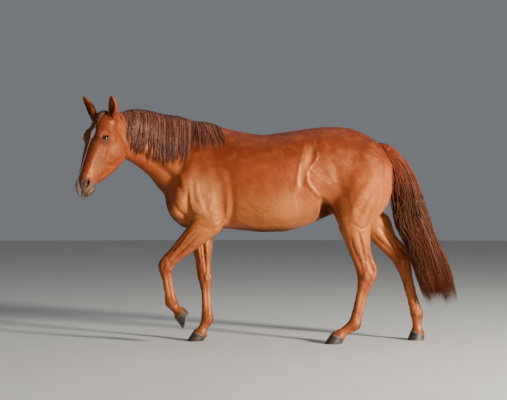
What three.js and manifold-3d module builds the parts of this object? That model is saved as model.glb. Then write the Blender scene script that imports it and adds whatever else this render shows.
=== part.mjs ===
// A chestnut riding horse, life size, walking with its left foreleg lifted and its head turned to the left.
// Millimetres. +Z is up, the horse looks along -X, and its left side is towards -Y.
// The body is a set of lofted tubes, joined into one and parted again with thin cuts.
import * as THREE from 'three';
import { LoftGeometry } from 'three/addons/geometries/LoftGeometry.js';
import { mergeVertices } from 'three/addons/utils/BufferGeometryUtils.js';
import Module from 'manifold-3d';

const wasm = await Module();
wasm.setup();

// ---- Driving dimensions ----
const GAP = 0.3; // between two pieces that meet
const LEFT = -1;
const RIGHT = 1;
const SIDES = [LEFT, RIGHT];
const FAR = 6000; // longer than the horse, for the cutting blocks

const NECK_START = -40; // x in front of which the neck bends
const NECK_TURN = THREE.MathUtils.degToRad(50); // how far the head is turned to the left
const NECK_LENGTH = 760; // along the bend
const POLL_HEIGHT = 1655;
const POLL_AHEAD = 90; // of the end of the neck's bend
const HEAD_SLOPE = THREE.MathUtils.degToRad(19.5); // of the face, from upright

const HOOF_LENGTH = 126;
const HOOF_WIDTH = 122;
const CORONET_LENGTH = 100;
const CORONET_WIDTH = 97;
const CORONET_HEIGHT = 57; // at its middle
const CORONET_RISE = 17; // of the toe over the middle, and of the middle over the heel

const EAR_LENGTH = 156;
const EAR_WALL = 4.5;
const EYE_RADIUS = 21;

// ---- Shaping tools ----

// Reads a table of rows at a place between two of them, on a spline through every column.
function spline(rows, place) {
  const low = Math.min(Math.floor(place), rows.length - 2);
  const t = place - low;
  const row = (k) => rows[THREE.MathUtils.clamp(low + k, 0, rows.length - 1)];
  return rows[0].map((_, c) => {
    const [a, b, d, e] = [row(-1)[c], row(0)[c], row(1)[c], row(2)[c]];
    return b + 0.5 * t * (d - a + t * (2 * a - 5 * b + 4 * d - e + t * (3 * (b - d) + e - a)));
  });
}

// A round of a section: 2 is an ellipse, more is squarer and less is more pointed.
const rounded = (value, squareness) => Math.sign(value) * Math.abs(value) ** (2 / squareness);

// A closed tube through rows of [x, z, y, front, back, side, squareness in front, squareness behind].
// front, back and side are half sizes across the path, and front lies to the left of the way the rows run.
// Its ends are domes of the lengths in tips, or flat where that is 0. Upright sections don't tilt with the path.
function tube(rows, { around = 16, steps = 1, tips = [0, 0], upright = false, grow = 0 } = {}) {
  const last = rows.length - 1;
  const direction = (place) => {
    if (upright) return new THREE.Vector2(1, 0);
    const a = spline(rows, Math.max(place - 0.02, 0));
    const b = spline(rows, Math.min(place + 0.02, last));
    return new THREE.Vector2(b[0] - a[0], b[1] - a[1]).normalize();
  };
  const ring = (place, size = 1, past = 0) => {
    const [x, z, y, front, back, side, squareFront, squareBack] = spline(rows, place);
    const way = direction(place);
    return Array.from({ length: around }, (_, i) => {
      const angle = (2 * Math.PI * (i + 0.5)) / around;
      const [c, s] = [Math.cos(angle), Math.sin(angle)];
      const square = s > 0 ? squareFront : squareBack;
      const ahead = size * ((s > 0 ? front : back) + grow) * rounded(s, square);
      const aside = size * (side + grow) * rounded(c, square);
      return new THREE.Vector3(
        x + way.x * past - way.y * ahead,
        y + aside,
        z + way.y * past + way.x * ahead,
      );
    });
  };
  const dome = (place, length, sign) => {
    if (!length) return [];
    return [14, 48].map((degrees) => {
      const angle = THREE.MathUtils.degToRad(degrees);
      return ring(place, Math.sin(angle), sign * (length + grow) * Math.cos(angle));
    });
  };
  const rings = [
    ...dome(0, tips[0], -1),
    ...Array.from({ length: Math.round(last * steps) + 1 }, (_, k) => ring(Math.min(k / steps, last))),
    ...dome(last, tips[1], 1).reverse(),
  ];
  return new LoftGeometry(rings, { capStart: true, capEnd: true });
}

function ball([x, y, z], [rx, ry, rz], { around = 10, grow = 0 } = {}) {
  return new THREE.SphereGeometry(1, around, Math.round(around * 0.6))
    .scale(rx + grow, ry + grow, rz + grow)
    .translate(x, y, z);
}

function solid(geometry) {
  const bare = new THREE.BufferGeometry();
  bare.setAttribute('position', geometry.getAttribute('position'));
  bare.setIndex(geometry.index);
  const merged = mergeVertices(bare, 1e-3);
  return new wasm.Manifold(
    new wasm.Mesh({
      numProp: 3,
      vertProperties: merged.attributes.position.array,
      triVerts: new Uint32Array(merged.index.array),
    }),
  );
}

const union = (solids) => solids.reduce((all, one) => all.add(one));

function box([x0, y0, z0], [x1, y1, z1]) {
  const block = new THREE.BoxGeometry(x1 - x0, y1 - y0, z1 - z0);
  return solid(block.translate((x0 + x1) / 2, (y0 + y1) / 2, (z0 + z1) / 2));
}

// Everything on the side of a plane that its normal points to, from a distance past the plane.
function beyond([x, y, z], normal, distance) {
  const way = new THREE.Vector3(...normal).normalize();
  const turn = new THREE.Quaternion().setFromUnitVectors(new THREE.Vector3(0, 0, 1), way);
  const block = new THREE.BoxGeometry(FAR, FAR, FAR).translate(0, 0, FAR / 2 + distance);
  return solid(block.applyQuaternion(turn).translate(x, y, z));
}

// Parts a solid with a thin cut, into what lies past the plane and within a space, and the rest.
function slice(shape, { at, normal, within }) {
  const space = (distance) => {
    const half = beyond(at, normal, distance);
    return within ? half.intersect(within) : half;
  };
  return [shape.intersect(space(GAP / 2)), shape.subtract(space(-GAP / 2))];
}

// ---- The bend of the neck ----

// Where the middle of the neck is, and how far it has turned, at a length along it.
function turned(along) {
  const curve = NECK_TURN / NECK_LENGTH;
  const round = THREE.MathUtils.clamp(along, 0, NECK_LENGTH);
  const turn = round * curve;
  const straight = along - round;
  const x = NECK_START - Math.sin(turn) / curve - straight * Math.cos(turn);
  const y = (Math.cos(turn) - 1) / curve - straight * Math.sin(turn);
  return { turn, x, y };
}

// Bends what is modelled straight ahead.
function bend(geometry) {
  const places = geometry.getAttribute('position');
  for (let i = 0; i < places.count; i++) {
    const aside = places.getY(i);
    const { turn, x, y } = turned(NECK_START - places.getX(i));
    places.setXY(i, x - aside * Math.sin(turn), y + aside * Math.cos(turn));
  }
  return geometry;
}

// ---- Trunk ----

// From the breast to the buttocks: the front of a section is its top.
const TRUNK = [
  // x, z, y, top, bottom, side, squareness above and below
  [-262, 1065, 0, 135, 185, 150, 2, 2],
  [-200, 1085, 0, 265, 253, 195, 2, 2],
  [-130, 1100, 0, 392, 276, 213, 1.9, 2.1],
  [-60, 1130, 0, 462, 306, 224, 1.6, 2.1],
  [20, 1140, 0, 455, 316, 235, 1.45, 2.1],
  [109, 1150, 0, 410, 326, 254, 1.6, 2.1],
  [219, 1150, 0, 382, 338, 277, 1.85, 2.1],
  [379, 1150, 0, 357, 354, 297, 2, 2.15],
  [547, 1150, 0, 377, 348, 302, 2.1, 2.15],
  [700, 1165, 0, 386, 322, 287, 2.2, 2.1],
  [802, 1180, 0, 383, 290, 268, 2.2, 2.1],
  [911, 1200, 0, 368, 262, 252, 2.2, 2],
  [1021, 1210, 0, 346, 250, 240, 2.2, 2],
  [1130, 1210, 0, 304, 240, 215, 2.1, 2],
  [1215, 1200, 0, 262, 225, 165, 1.9, 2],
];

const trunk = (grow) => solid(tube(TRUNK, { around: 20, tips: [55, 90], upright: true, grow }));

// The shoulder blade from the point of the shoulder up to the withers.
function shoulder(side, grow) {
  const rows = [
    [-215, 985, 132 * side, 85, 80, 76, 2, 2],
    [-160, 1110, 144 * side, 115, 115, 80, 2, 2],
    [-90, 1250, 126 * side, 125, 125, 80, 2, 2],
    [-20, 1380, 86 * side, 95, 95, 66, 2, 2],
  ];
  return solid(tube(rows, { around: 10, tips: [95, 70], grow }));
}

function upperArm(side, grow) {
  const rows = [
    [22, 848, 152 * side, 100, 84, 66, 2, 2],
    [0, 940, 160 * side, 150, 110, 74, 2, 2],
    [10, 1060, 162 * side, 160, 130, 76, 2, 2],
    [30, 1190, 146 * side, 120, 120, 74, 2, 2],
  ];
  return solid(tube(rows, { around: 10, tips: [74, 110], grow }));
}

// The thigh of a leg that reaches back leans back to meet it.
function thigh({ side, joints }, grow) {
  const lean = joints[3][0] - 1034;
  const rows = [
    [1050 + lean, 838, 140 * side, 112, 120 - lean * 0.1, 82, 2, 2],
    [1030 + lean * 0.55, 940, 142 * side, 150, 220 - lean * 0.3, 104, 2, 2.1],
    [1050 + lean * 0.2, 1035, 138 * side, 205, 255 - lean * 0.2, 120, 2, 2.2],
    [1080, 1150, 130 * side, 210, 242, 130, 2, 2.2],
    [1085, 1260, 118 * side, 190, 240, 132, 2, 2.1],
    [1060, 1370, 100 * side, 150, 190, 120, 2, 2],
  ];
  return solid(tube(rows, { around: 12, tips: [85, 90], grow }));
}

// ---- Legs ----

// One shape serves both legs of a pair, laid along each leg's own joints.
const FORELEG = [
  // joint it is past, share of the way to the next, front, back, side
  [0, -0.15, 44, 40, 41],
  [0, 0.35, 34, 34, 34],
  [0, 0.7, 33, 38, 33],
  [1, 0, 46, 48, 40],
  [1, 0.14, 40, 46, 34],
  [1, 0.35, 34, 38, 27],
  [1, 0.65, 35, 37, 28],
  [1, 0.84, 45, 46, 38],
  [2, 0, 56, 54, 48],
  [2, 0.12, 62, 48, 45],
  [2, 0.3, 63, 51, 46],
  [2, 0.55, 77, 68, 57],
  [2, 0.8, 92, 86, 64],
  [3, 0, 96, 94, 64],
];

const HINDLEG = [
  [0, -0.15, 44, 40, 41],
  [0, 0.35, 34, 34, 33],
  [0, 0.7, 37, 38, 33],
  [1, 0, 45, 52, 41],
  [1, 0.12, 40, 46, 34],
  [1, 0.35, 38, 42, 30],
  [1, 0.65, 42, 45, 32],
  [1, 0.84, 54, 56, 41],
  [2, 0, 70, 76, 49],
  [2, 0.12, 66, 98, 45],
  [2, 0.26, 68, 82, 38],
  [2, 0.5, 82, 80, 50],
  [2, 0.76, 93, 106, 70],
  [3, 0, 112, 132, 84],
];

// joints are [x, y, z] of the coronet, fetlock, knee or hock, and elbow or stifle.
// lean is how far the coronet lies behind the middle of the sole, and pitch tips the hoof onto its toe.
const LEGS = [
  {
    name: 'foreleg_left',
    upper: 'forearm',
    shape: FORELEG,
    joints: [[-209, -150, 220], [-273, -155, 293], [-316, -165, 556], [-35, -160, 835]],
    lean: 38,
    pitch: 72,
    root: { at: [-115, 0, 770], normal: [-0.555, 0, -0.83] },
    side: LEFT,
    fore: true,
  },
  {
    name: 'foreleg_right',
    upper: 'forearm',
    shape: FORELEG,
    joints: [[-72, 54, 57], [-24, 62, 156], [-38, 102, 460], [-68, 155, 835]],
    lean: 38,
    pitch: 0,
    root: { at: [-30, 0, 795], normal: [0, 0, -1] },
    side: RIGHT,
    fore: true,
  },
  {
    name: 'hindleg_left',
    upper: 'gaskin',
    shape: HINDLEG,
    joints: [[925, -128, 57], [1040, -120, 138], [1130, -112, 480], [1034, -135, 850]],
    lean: 38,
    pitch: 0,
    root: { at: [1090, 0, 880], normal: [0.318, 0, -0.948] },
    side: LEFT,
    fore: false,
  },
  {
    name: 'hindleg_right',
    upper: 'gaskin',
    shape: HINDLEG,
    joints: [[1530, 110, 57], [1517, 106, 190], [1414, 112, 590], [1200, 130, 860]],
    lean: 16,
    pitch: 0,
    root: { at: [1215, 0, 880], normal: [0.635, 0, -0.77] },
    side: RIGHT,
    fore: false,
  },
];

const along = (from, to, share) => from.map((value, i) => value + (to[i] - value) * share);

function leg({ joints, shape }, grow) {
  const rows = shape.map(([joint, share, front, back, side]) => {
    const [x, y, z] = along(joints[joint], joints[joint + 1] ?? joints[joint], share);
    return [x, z, y, front, back, side, 2.1, 2.1];
  });
  return solid(tube(rows, { around: 12, tips: [0, 60], grow }));
}

// An oval wall, wider at the flat sole than at the coronet, which is higher over the toe.
function hoof({ joints, lean, pitch }, grow) {
  const ring = (rise) =>
    Array.from({ length: 18 }, (_, i) => {
      const angle = (2 * Math.PI * i) / 18;
      const [c, s] = [Math.cos(angle), Math.sin(angle)];
      const length = THREE.MathUtils.lerp(HOOF_LENGTH, CORONET_LENGTH, rise) / 2 + grow;
      const width = THREE.MathUtils.lerp(HOOF_WIDTH, CORONET_WIDTH, rise) / 2 + grow;
      const height = rise * (CORONET_HEIGHT + grow - CORONET_RISE * c);
      return new THREE.Vector3(lean * rise + length * c, width * s * (1 - 0.12 * c), height);
    });
  const [x, y, z] = joints[0];
  const wall = new LoftGeometry([0, 0.5, 1].map(ring), { capStart: true, capEnd: true });
  wall.translate(-lean, 0, -CORONET_HEIGHT);
  return solid(wall.rotateY(THREE.MathUtils.degToRad(-pitch)).translate(x, y, z));
}

// ---- Neck ----

// From the poll to the shoulders, before it is bent: the front of a section is the crest.
const NECK = [
  // x, z, y, crest, throat, side, squareness above and below
  [-770, 1560, 0, 98, 120, 68, 2, 2],
  [-688, 1524, 0, 140, 146, 80, 1.9, 2],
  [-603, 1494, 0, 176, 175, 86, 1.7, 2],
  [-522, 1472, 0, 194, 189, 92, 1.6, 2],
  [-436, 1444, 0, 203, 208, 102, 1.5, 2],
  [-345, 1406, 0, 230, 231, 116, 1.5, 2],
  [-255, 1360, 0, 262, 268, 136, 1.5, 2],
  [-150, 1297, 0, 314, 300, 160, 1.5, 2],
  [-40, 1240, 0, 330, 300, 180, 1.5, 2],
  [40, 1210, 0, 330, 300, 190, 1.5, 2],
];

const neckTube = (rows, grow) => solid(bend(tube(rows, { around: 16, tips: [30, 60], grow })));
const neck = (grow) => neckTube(NECK, grow);

// ---- Head ----

// Modelled muzzle down and face towards -X, with the origin at the poll, on the line of the face.
const HEAD = [
  // x, z, y, face, jaw, side, squareness in front and behind
  [80, -588, 0, 54, 30, 44, 2.4, 2.2],
  [76, -560, 0, 68, 50, 55, 2.5, 2.3],
  [72, -525, 0, 72, 60, 58, 2.6, 2.3],
  [74, -480, 0, 73, 80, 55, 2.8, 2.3],
  [80, -430, 0, 79, 122, 59, 2.9, 2.5],
  [90, -380, 0, 89, 142, 66, 2.9, 2.6],
  [100, -330, 0, 98, 176, 77, 2.8, 2.6],
  [104, -280, 0, 102, 200, 90, 2.6, 2.6],
  [104, -230, 0, 103, 210, 100, 2.5, 2.5],
  [100, -180, 0, 101, 198, 105, 2.5, 2.3],
  [98, -130, 0, 98, 165, 97, 2.4, 2.1],
  [102, -75, 0, 90, 125, 82, 2.2, 2],
  [110, -14, 0, 72, 90, 66, 2, 2],
];
const HEAD_FORMS = [
  // Those with an aside are a pair.
  { name: 'cheek', at: [186, -214], aside: 64, size: [120, 44, 122] },
  { name: 'brow', at: [40, -176], aside: 57, size: [54, 50, 62] },
  { name: 'nostril', at: [42, -530], aside: 36, size: [34, 28, 44] },
  { name: 'chin', at: [120, -548], aside: 0, size: [34, 38, 36] },
];
const NOSTRIL = { at: [24, -538], aside: 58, size: [13, 13, 21] };
const EYE = { at: [50, -196], aside: 90 };
const EARS = [
  { side: LEFT, at: [84, -16], aside: 73, lean: 39, splay: 27, outward: 20 },
  { side: RIGHT, at: [50, -26], aside: 83, lean: 40, splay: 17, outward: 20 },
];

const headPlace = (() => {
  const { x, y } = turned(NECK_LENGTH + POLL_AHEAD);
  const turn = new THREE.Euler(0, HEAD_SLOPE, NECK_TURN, 'ZYX');
  return new THREE.Matrix4().makeRotationFromEuler(turn).setPosition(x, y, POLL_HEIGHT);
})();

const onHead = (geometry) => solid(geometry.applyMatrix4(headPlace));

function head(grow) {
  const forms = HEAD_FORMS.flatMap(({ at, aside, size }) =>
    (aside ? SIDES : [RIGHT]).map((side) => ball([at[0], aside * side, at[1]], size, { around: 8, grow })),
  );
  const skull = tube(HEAD, { around: 18, tips: [24, 34], grow });
  const hollows = SIDES.map((side) => {
    const { at, aside, size } = NOSTRIL;
    return ball([at[0], aside * side, at[1]], size, { around: 6 });
  });
  const whole = union([skull, ...forms].map(onHead));
  return grow ? whole : whole.subtract(union(hollows.map(onHead)));
}

const eye = (side, grow) =>
  onHead(ball([EYE.at[0], EYE.aside * side, EYE.at[1]], [EYE_RADIUS, EYE_RADIUS, EYE_RADIUS], { grow }));

// A leaf rolled into a cup, open in front.
const EAR_LEAF = [
  // share of the length, half width, half depth, how far the middle lies forward
  [-0.12, 23, 23, 0],
  [0.1, 29, 26, 0],
  [0.32, 33, 25, 0],
  [0.55, 30, 20, 2],
  [0.78, 18, 12, 5],
  [0.93, 8, 6, 9],
  [1, 2.5, 2.5, 11],
];

function ear({ side, at, aside, lean, splay, outward }, grow) {
  const leaf = (wall, low, high, forward) =>
    new LoftGeometry(
      Array.from({ length: 6 }, (_, k) => {
        const place = THREE.MathUtils.lerp(low, high, k / 5);
        const [share, width, depth, ahead] = spline(EAR_LEAF, place);
        return Array.from({ length: 10 }, (_, i) => {
          const angle = (2 * Math.PI * i) / 10;
          return new THREE.Vector3(
            -ahead - forward * depth + Math.max(depth - wall, 0.6) * Math.cos(angle),
            Math.max(width - wall, 0.6) * Math.sin(angle),
            share * EAR_LENGTH,
          );
        });
      }),
      { capStart: true, capEnd: true },
    );
  const place = (geometry) =>
    geometry
      .rotateZ(THREE.MathUtils.degToRad(-outward * side))
      .rotateY(THREE.MathUtils.degToRad(-lean))
      .rotateX(THREE.MathUtils.degToRad(-splay * side))
      .translate(at[0], aside * side, at[1]);
  const outer = onHead(place(leaf(-grow, 0, 6, 0)));
  return grow ? outer : outer.subtract(onHead(place(leaf(EAR_WALL, 1, 5, 0.55))));
}

// ---- Mane, forelock and tail ----

// The mane hangs on the left side, in locks: how far down its tips reach along the neck.
const MANE = [
  // x before the bend, height of the tips
  [-735, 1500],
  [-690, 1455],
  [-600, 1385],
  [-500, 1310],
  [-360, 1265],
  [-260, 1275],
  [-180, 1340],
  [-60, 1420],
  [40, 1450],
  [95, 1500],
];

function mane() {
  const lock = (x) => 20 * Math.cos((2 * Math.PI * x) / 100);
  const rings = Array.from({ length: 33 }, (_, k) => {
    const [x, low] = spline(MANE, THREE.MathUtils.lerp(0, MANE.length - 1, k / 32));
    const tips = low + lock(x);
    return [[-300, tips], [14, tips], [14, 2000], [-300, 2000]].map(([y, z]) => new THREE.Vector3(x, y, z));
  });
  const space = solid(bend(new LoftGeometry(rings, { capStart: true, capEnd: true })));
  const thicker = (rows) =>
    rows.map(([x, z, y, top, bottom, side, ...square]) => [x, z, y, top + 16, bottom, side + 8, ...square]);
  const hair = neckTube(thicker(NECK), 0).add(
    solid(tube(thicker(TRUNK), { around: 20, tips: [55, 90], upright: true })),
  );
  return hair.intersect(space);
}

function forelock() {
  const rows = [
    [110, 2, 0, 30, 30, 30, 2, 2],
    [58, -14, 0, 32, 30, 34, 2, 2],
    [10, -80, 0, 20, 24, 27, 2, 2],
    [1, -125, 0, 9, 14, 13, 2, 2],
    [2, -155, 0, 3, 8, 3, 2, 2],
  ];
  return onHead(tube(rows, { around: 10 }));
}

const TAIL = [
  [1215, 1412, 0, 36, 45, 42, 2, 2],
  [1290, 1385, 0, 54, 60, 50, 2, 2],
  [1370, 1280, 0, 74, 74, 58, 2, 2],
  [1430, 1150, 0, 90, 84, 62, 2, 2],
  [1490, 920, 4, 106, 104, 66, 2, 2],
  [1560, 720, 8, 104, 108, 70, 2, 2],
  [1630, 500, 10, 118, 122, 66, 2, 2],
  [1690, 305, 12, 104, 120, 48, 2, 2],
];

const tail = () => solid(tube(TAIL, { around: 12, tips: [40, 10] }));

// ---- Assembly ----

const torso = (grow) =>
  union([
    trunk(grow),
    ...SIDES.flatMap((side) => [shoulder(side, grow), upperArm(side, grow)]),
    ...LEGS.filter(({ fore }) => !fore).map((one) => thigh(one, grow)),
  ]);
const flesh = (grow) => union([torso(grow), neck(grow), head(grow), ...LEGS.map((one) => leg(one, grow))]);

const horse = new THREE.Group();
const COAT = new THREE.MeshStandardMaterial({ color: 0xa0522d, roughness: 0.5 });
const HAIR = new THREE.MeshStandardMaterial({ color: 0x4a2318, roughness: 0.6 });
const HORN = new THREE.MeshStandardMaterial({ color: 0x3a3230, roughness: 0.7 });
const GLASSY = new THREE.MeshStandardMaterial({ color: 0x120c0a, roughness: 0.1 });

function add(name, shape, material) {
  const mesh = shape.getMesh();
  const geometry = new THREE.BufferGeometry();
  geometry.setAttribute('position', new THREE.BufferAttribute(mesh.vertProperties, 3));
  geometry.setIndex(new THREE.BufferAttribute(mesh.triVerts, 1));
  const part = new THREE.Mesh(geometry, material);
  part.name = name;
  horse.add(part);
}

const outside = flesh(GAP);
let body = flesh(0);
for (const side of SIDES) body = body.subtract(eye(side, GAP));

for (const one of LEGS) {
  body = body.subtract(hoof(one, GAP));
  add(`${one.name}_hoof`, hoof(one, 0), HORN);
  const [front, back] = one.fore ? [-480, 500] : [500, FAR];
  const [low, high] = one.side === RIGHT ? [0, FAR] : [-FAR, 0];
  const within = box([front, low, -FAR], [back, high, FAR]);
  const [whole, rest] = slice(body, { ...one.root, within });
  body = rest;
  const [fetlock, knee] = [one.joints[1], one.joints[2]];
  const down = (from, to) => to.map((value, i) => value - from[i]);
  const cannonTop = along(knee, fetlock, one.fore ? 0.14 : 0.12);
  const pasternTop = along(fetlock, one.joints[0], 0.3);
  const [lower, upper] = slice(whole, { at: cannonTop, normal: down(knee, fetlock) });
  const [pastern, cannon] = slice(lower, { at: pasternTop, normal: down(fetlock, one.joints[0]) });
  add(`${one.name}_${one.upper}`, upper, COAT);
  add(`${one.name}_cannon`, cannon, COAT);
  add(`${one.name}_pastern`, pastern, COAT);
}

const poll = turned(690);
const ahead = [-Math.cos(poll.turn), -Math.sin(poll.turn)];
const throat = slice(body, { at: [poll.x, poll.y, 1520], normal: [ahead[0] * 0.96, ahead[1] * 0.96, -0.28] });
add('head', throat[0], COAT);
const neckBase = slice(throat[1], { at: [-170, 0, 1300], normal: [-0.906, 0, 0.423] });
add('neck', neckBase[0], COAT);
const girth = slice(neckBase[1], { at: [140, 0, 0], normal: [-1, 0, 0] });
add('forequarters', girth[0], COAT);
const flank = slice(girth[1], { at: [860, 0, 0], normal: [-1, 0, 0] });
add('barrel', flank[0], COAT);
add('hindquarters', flank[1], COAT);

for (const one of EARS) {
  const which = one.side === LEFT ? 'left' : 'right';
  add(`ear_${which}`, ear(one, 0).subtract(outside), COAT);
  add(`eye_${which}`, eye(one.side, 0), GLASSY);
}
const besideEars = (shape) => EARS.reduce((rest, one) => rest.subtract(ear(one, GAP)), shape);
add('mane', besideEars(mane().subtract(outside)), HAIR);
add('forelock', besideEars(forelock().subtract(outside)), HAIR);
add('tail', tail().subtract(outside), HAIR);

const bounds = new THREE.Box3().setFromObject(horse);
const middle = bounds.getCenter(new THREE.Vector3());
horse.position.set(-middle.x, -middle.y, -bounds.min.z);

export default horse;
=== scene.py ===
"""A chestnut horse at a slow walk: skin, coat, long hair, eyes and hooves over its solids."""

import functools
import math
import bpy
import numpy as np
from mathutils import Euler, Matrix, Vector
from mathutils.bvhtree import BVHTree


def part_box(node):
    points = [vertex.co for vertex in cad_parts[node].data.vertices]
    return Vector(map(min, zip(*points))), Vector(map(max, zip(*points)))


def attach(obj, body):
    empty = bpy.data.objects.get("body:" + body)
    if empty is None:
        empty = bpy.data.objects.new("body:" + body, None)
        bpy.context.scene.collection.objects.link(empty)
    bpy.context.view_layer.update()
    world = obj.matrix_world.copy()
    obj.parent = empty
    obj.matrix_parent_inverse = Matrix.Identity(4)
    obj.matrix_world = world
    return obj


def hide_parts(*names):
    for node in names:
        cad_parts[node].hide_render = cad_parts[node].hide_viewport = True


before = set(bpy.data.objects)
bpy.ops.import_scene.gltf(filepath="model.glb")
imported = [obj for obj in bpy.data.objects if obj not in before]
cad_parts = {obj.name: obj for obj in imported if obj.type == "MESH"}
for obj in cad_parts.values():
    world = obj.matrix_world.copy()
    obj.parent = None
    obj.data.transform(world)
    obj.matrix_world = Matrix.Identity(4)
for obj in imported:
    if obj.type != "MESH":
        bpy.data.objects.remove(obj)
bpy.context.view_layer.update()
chance = np.random.default_rng(11)

LEFT, RIGHT = -1, 1
SIDES = {"left": LEFT, "right": RIGHT}

# ---- Frames of the body, the neck and the head ----

# Body coordinates are metres from a point on the floor under the withers: x back, y to the right, z up.
NECK_START = -0.040
NECK_TURN = math.radians(50)
NECK_LENGTH = 0.760
NECK_ROUND = NECK_LENGTH / NECK_TURN
POLL_AHEAD = 0.090
POLL_HEIGHT = 1.655
HEAD_LEAN = 19.5
EYE = Vector((0.050, 0.090, -0.196))
EYE_RADIUS = 0.0215
EYE_DEPTH = 0.0045

HEAD_TURN = np.array(Euler((0, math.radians(HEAD_LEAN), NECK_TURN), "XYZ").to_matrix())


def poll():
    """Where the poll is in body coordinates, at the end of the neck's bend."""
    x = NECK_START - math.sin(NECK_TURN) * NECK_ROUND - POLL_AHEAD * math.cos(NECK_TURN)
    y = (math.cos(NECK_TURN) - 1) * NECK_ROUND - POLL_AHEAD * math.sin(NECK_TURN)
    return np.array([x, y, POLL_HEIGHT])


def eye_middle(side):
    low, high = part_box(f"eye_{side}")
    return np.array((low + high) / 2)


left_eye = HEAD_TURN @ np.array([EYE.x, -EYE.y, EYE.z]) + poll()
BODY = eye_middle("left") - left_eye
BODY[2] = 0.0


def to_head(points):
    """Head coordinates: x from the face back, y to the right, z up from the poll."""
    return (points - BODY - poll()) @ HEAD_TURN


def from_head(points):
    return np.asarray(points) @ HEAD_TURN.T + poll() + BODY


def unbend(points):
    """The neck laid out straight: x as on the body, y aside of the neck's middle."""
    p = points - BODY
    ahead = NECK_START - p[..., 0]
    across = p[..., 1] + NECK_ROUND
    turn = np.arctan2(ahead, across)
    past = turn > NECK_TURN
    along = np.where(ahead < 0, ahead, turn * NECK_ROUND)
    aside = np.where(ahead < 0, p[..., 1], np.hypot(ahead, across) - NECK_ROUND)
    end = np.array([math.sin(NECK_TURN), math.cos(NECK_TURN)])
    straight = ahead * math.cos(NECK_TURN) - across * math.sin(NECK_TURN)
    along = np.where(past, NECK_LENGTH + straight, along)
    aside = np.where(past, ahead * end[0] + across * end[1] - NECK_ROUND, aside)
    return np.stack([NECK_START - along, aside, p[..., 2]], -1)


def bend(points):
    """From the neck laid out straight back to where it is."""
    along = NECK_START - points[..., 0]
    round_part = np.clip(along, 0, NECK_LENGTH)
    turn = round_part / NECK_ROUND
    straight = along - round_part
    x = NECK_START - np.sin(turn) * NECK_ROUND - straight * np.cos(turn) - points[..., 1] * np.sin(turn)
    y = (np.cos(turn) - 1) * NECK_ROUND - straight * np.sin(turn) + points[..., 1] * np.cos(turn)
    return np.stack([x, y, points[..., 2]], -1) + BODY


# Joints of each leg in body coordinates, from the ground up: coronet, fetlock, knee or hock, elbow or
# stifle. The lean is how far the coronet lies behind the middle of the sole, and the pitch is how many
# degrees the hoof is tipped.
LEGS = {
    "foreleg_left": dict(
        joints=[
            (-0.209, -0.150, 0.220), (-0.273, -0.155, 0.293),
            (-0.316, -0.165, 0.556), (-0.035, -0.160, 0.835),
        ],
        lean=0.038, pitch=72, side=LEFT, fore=True,
    ),
    "foreleg_right": dict(
        joints=[
            (-0.072, 0.054, 0.057), (-0.024, 0.062, 0.156),
            (-0.038, 0.102, 0.460), (-0.068, 0.155, 0.835),
        ],
        lean=0.038, pitch=0, side=RIGHT, fore=True,
    ),
    "hindleg_left": dict(
        joints=[
            (0.925, -0.128, 0.057), (1.040, -0.120, 0.138),
            (1.130, -0.112, 0.480), (1.034, -0.135, 0.850),
        ],
        lean=0.038, pitch=0, side=LEFT, fore=False,
    ),
    "hindleg_right": dict(
        joints=[
            (1.530, 0.110, 0.057), (1.517, 0.106, 0.190),
            (1.414, 0.112, 0.590), (1.200, 0.130, 0.860),
        ],
        lean=0.016, pitch=0, side=RIGHT, fore=False,
    ),
}


def eased(value, low, high):
    """0 below low, 1 above high, smooth between."""
    t = np.clip((np.asarray(value, float) - low) / (high - low), 0, 1)
    return t * t * (3 - 2 * t)


def hump(value, middle, reach):
    """1 at the middle, falling away smoothly on both sides."""
    return np.exp(-(((value - middle) / reach) ** 2))


def egg(points, middle, reach):
    """1 at a middle, falling away smoothly all round it."""
    return np.exp(-(((points - middle) / reach) ** 2).sum(1))


def mix(a, b, share):
    """A share of the way from a to b."""
    return a + (b - a) * share


def unit(v):
    """The same direction, one long."""
    return v / np.maximum(np.linalg.norm(v, axis=-1, keepdims=True), 1e-9)


def spline(rows, steps):
    """Rows of sizes and the rows between them, so many steps from one to the next, on a smooth curve."""
    rows = np.asarray(rows, float)
    out = []
    for k in range(len(rows) - 1):
        a, b = rows[max(k - 1, 0)], rows[k]
        c, d = rows[k + 1], rows[min(k + 2, len(rows) - 1)]
        for t in np.arange(steps) / steps:
            bow, twist = 2 * a - 5 * b + 4 * c - d, 3 * b - a - 3 * c + d
            out.append(0.5 * (2 * b + (c - a) * t + bow * t**2 + twist * t**3))
    return np.array(out + [rows[-1]])


# ---- Working with pieces ----


def pick(piece):
    """Makes a piece the only one selected, and the active one."""
    bpy.ops.object.select_all(action="DESELECT")
    piece.select_set(True)
    bpy.context.view_layer.objects.active = piece
    return piece


def finish_with(piece, kind, **values):
    """Adds a modifier by its kind and applies it."""
    modifier = piece.modifiers.new(kind.title(), kind)
    for name, value in values.items():
        setattr(modifier, name, value)
    pick(piece)
    bpy.ops.object.modifier_apply(modifier=modifier.name)


def read(rows, key, width=1, kind=np.float32):
    """One value, or so many, of every vertex, edge, loop or triangle."""
    out = np.empty(len(rows) * width, kind)
    rows.foreach_get(key, out)
    return out.reshape(-1, width) if width > 1 else out


def corners(piece):
    """Where every corner of a piece is, as rows of x, y and z."""
    return read(piece.data.vertices, "co", 3).astype(float)


def normals(piece):
    return read(piece.data.vertex_normals, "vector", 3).astype(float)


def move_corners(piece, co):
    piece.data.vertices.foreach_set("co", np.asarray(co, np.float32).ravel())
    piece.data.update()


def edges_of(piece):
    return read(piece.data.edges, "vertices", 2, np.int32)


def mode(name):
    """Goes into edit mode, or back out of it."""
    bpy.ops.object.mode_set(mode=name)


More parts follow.
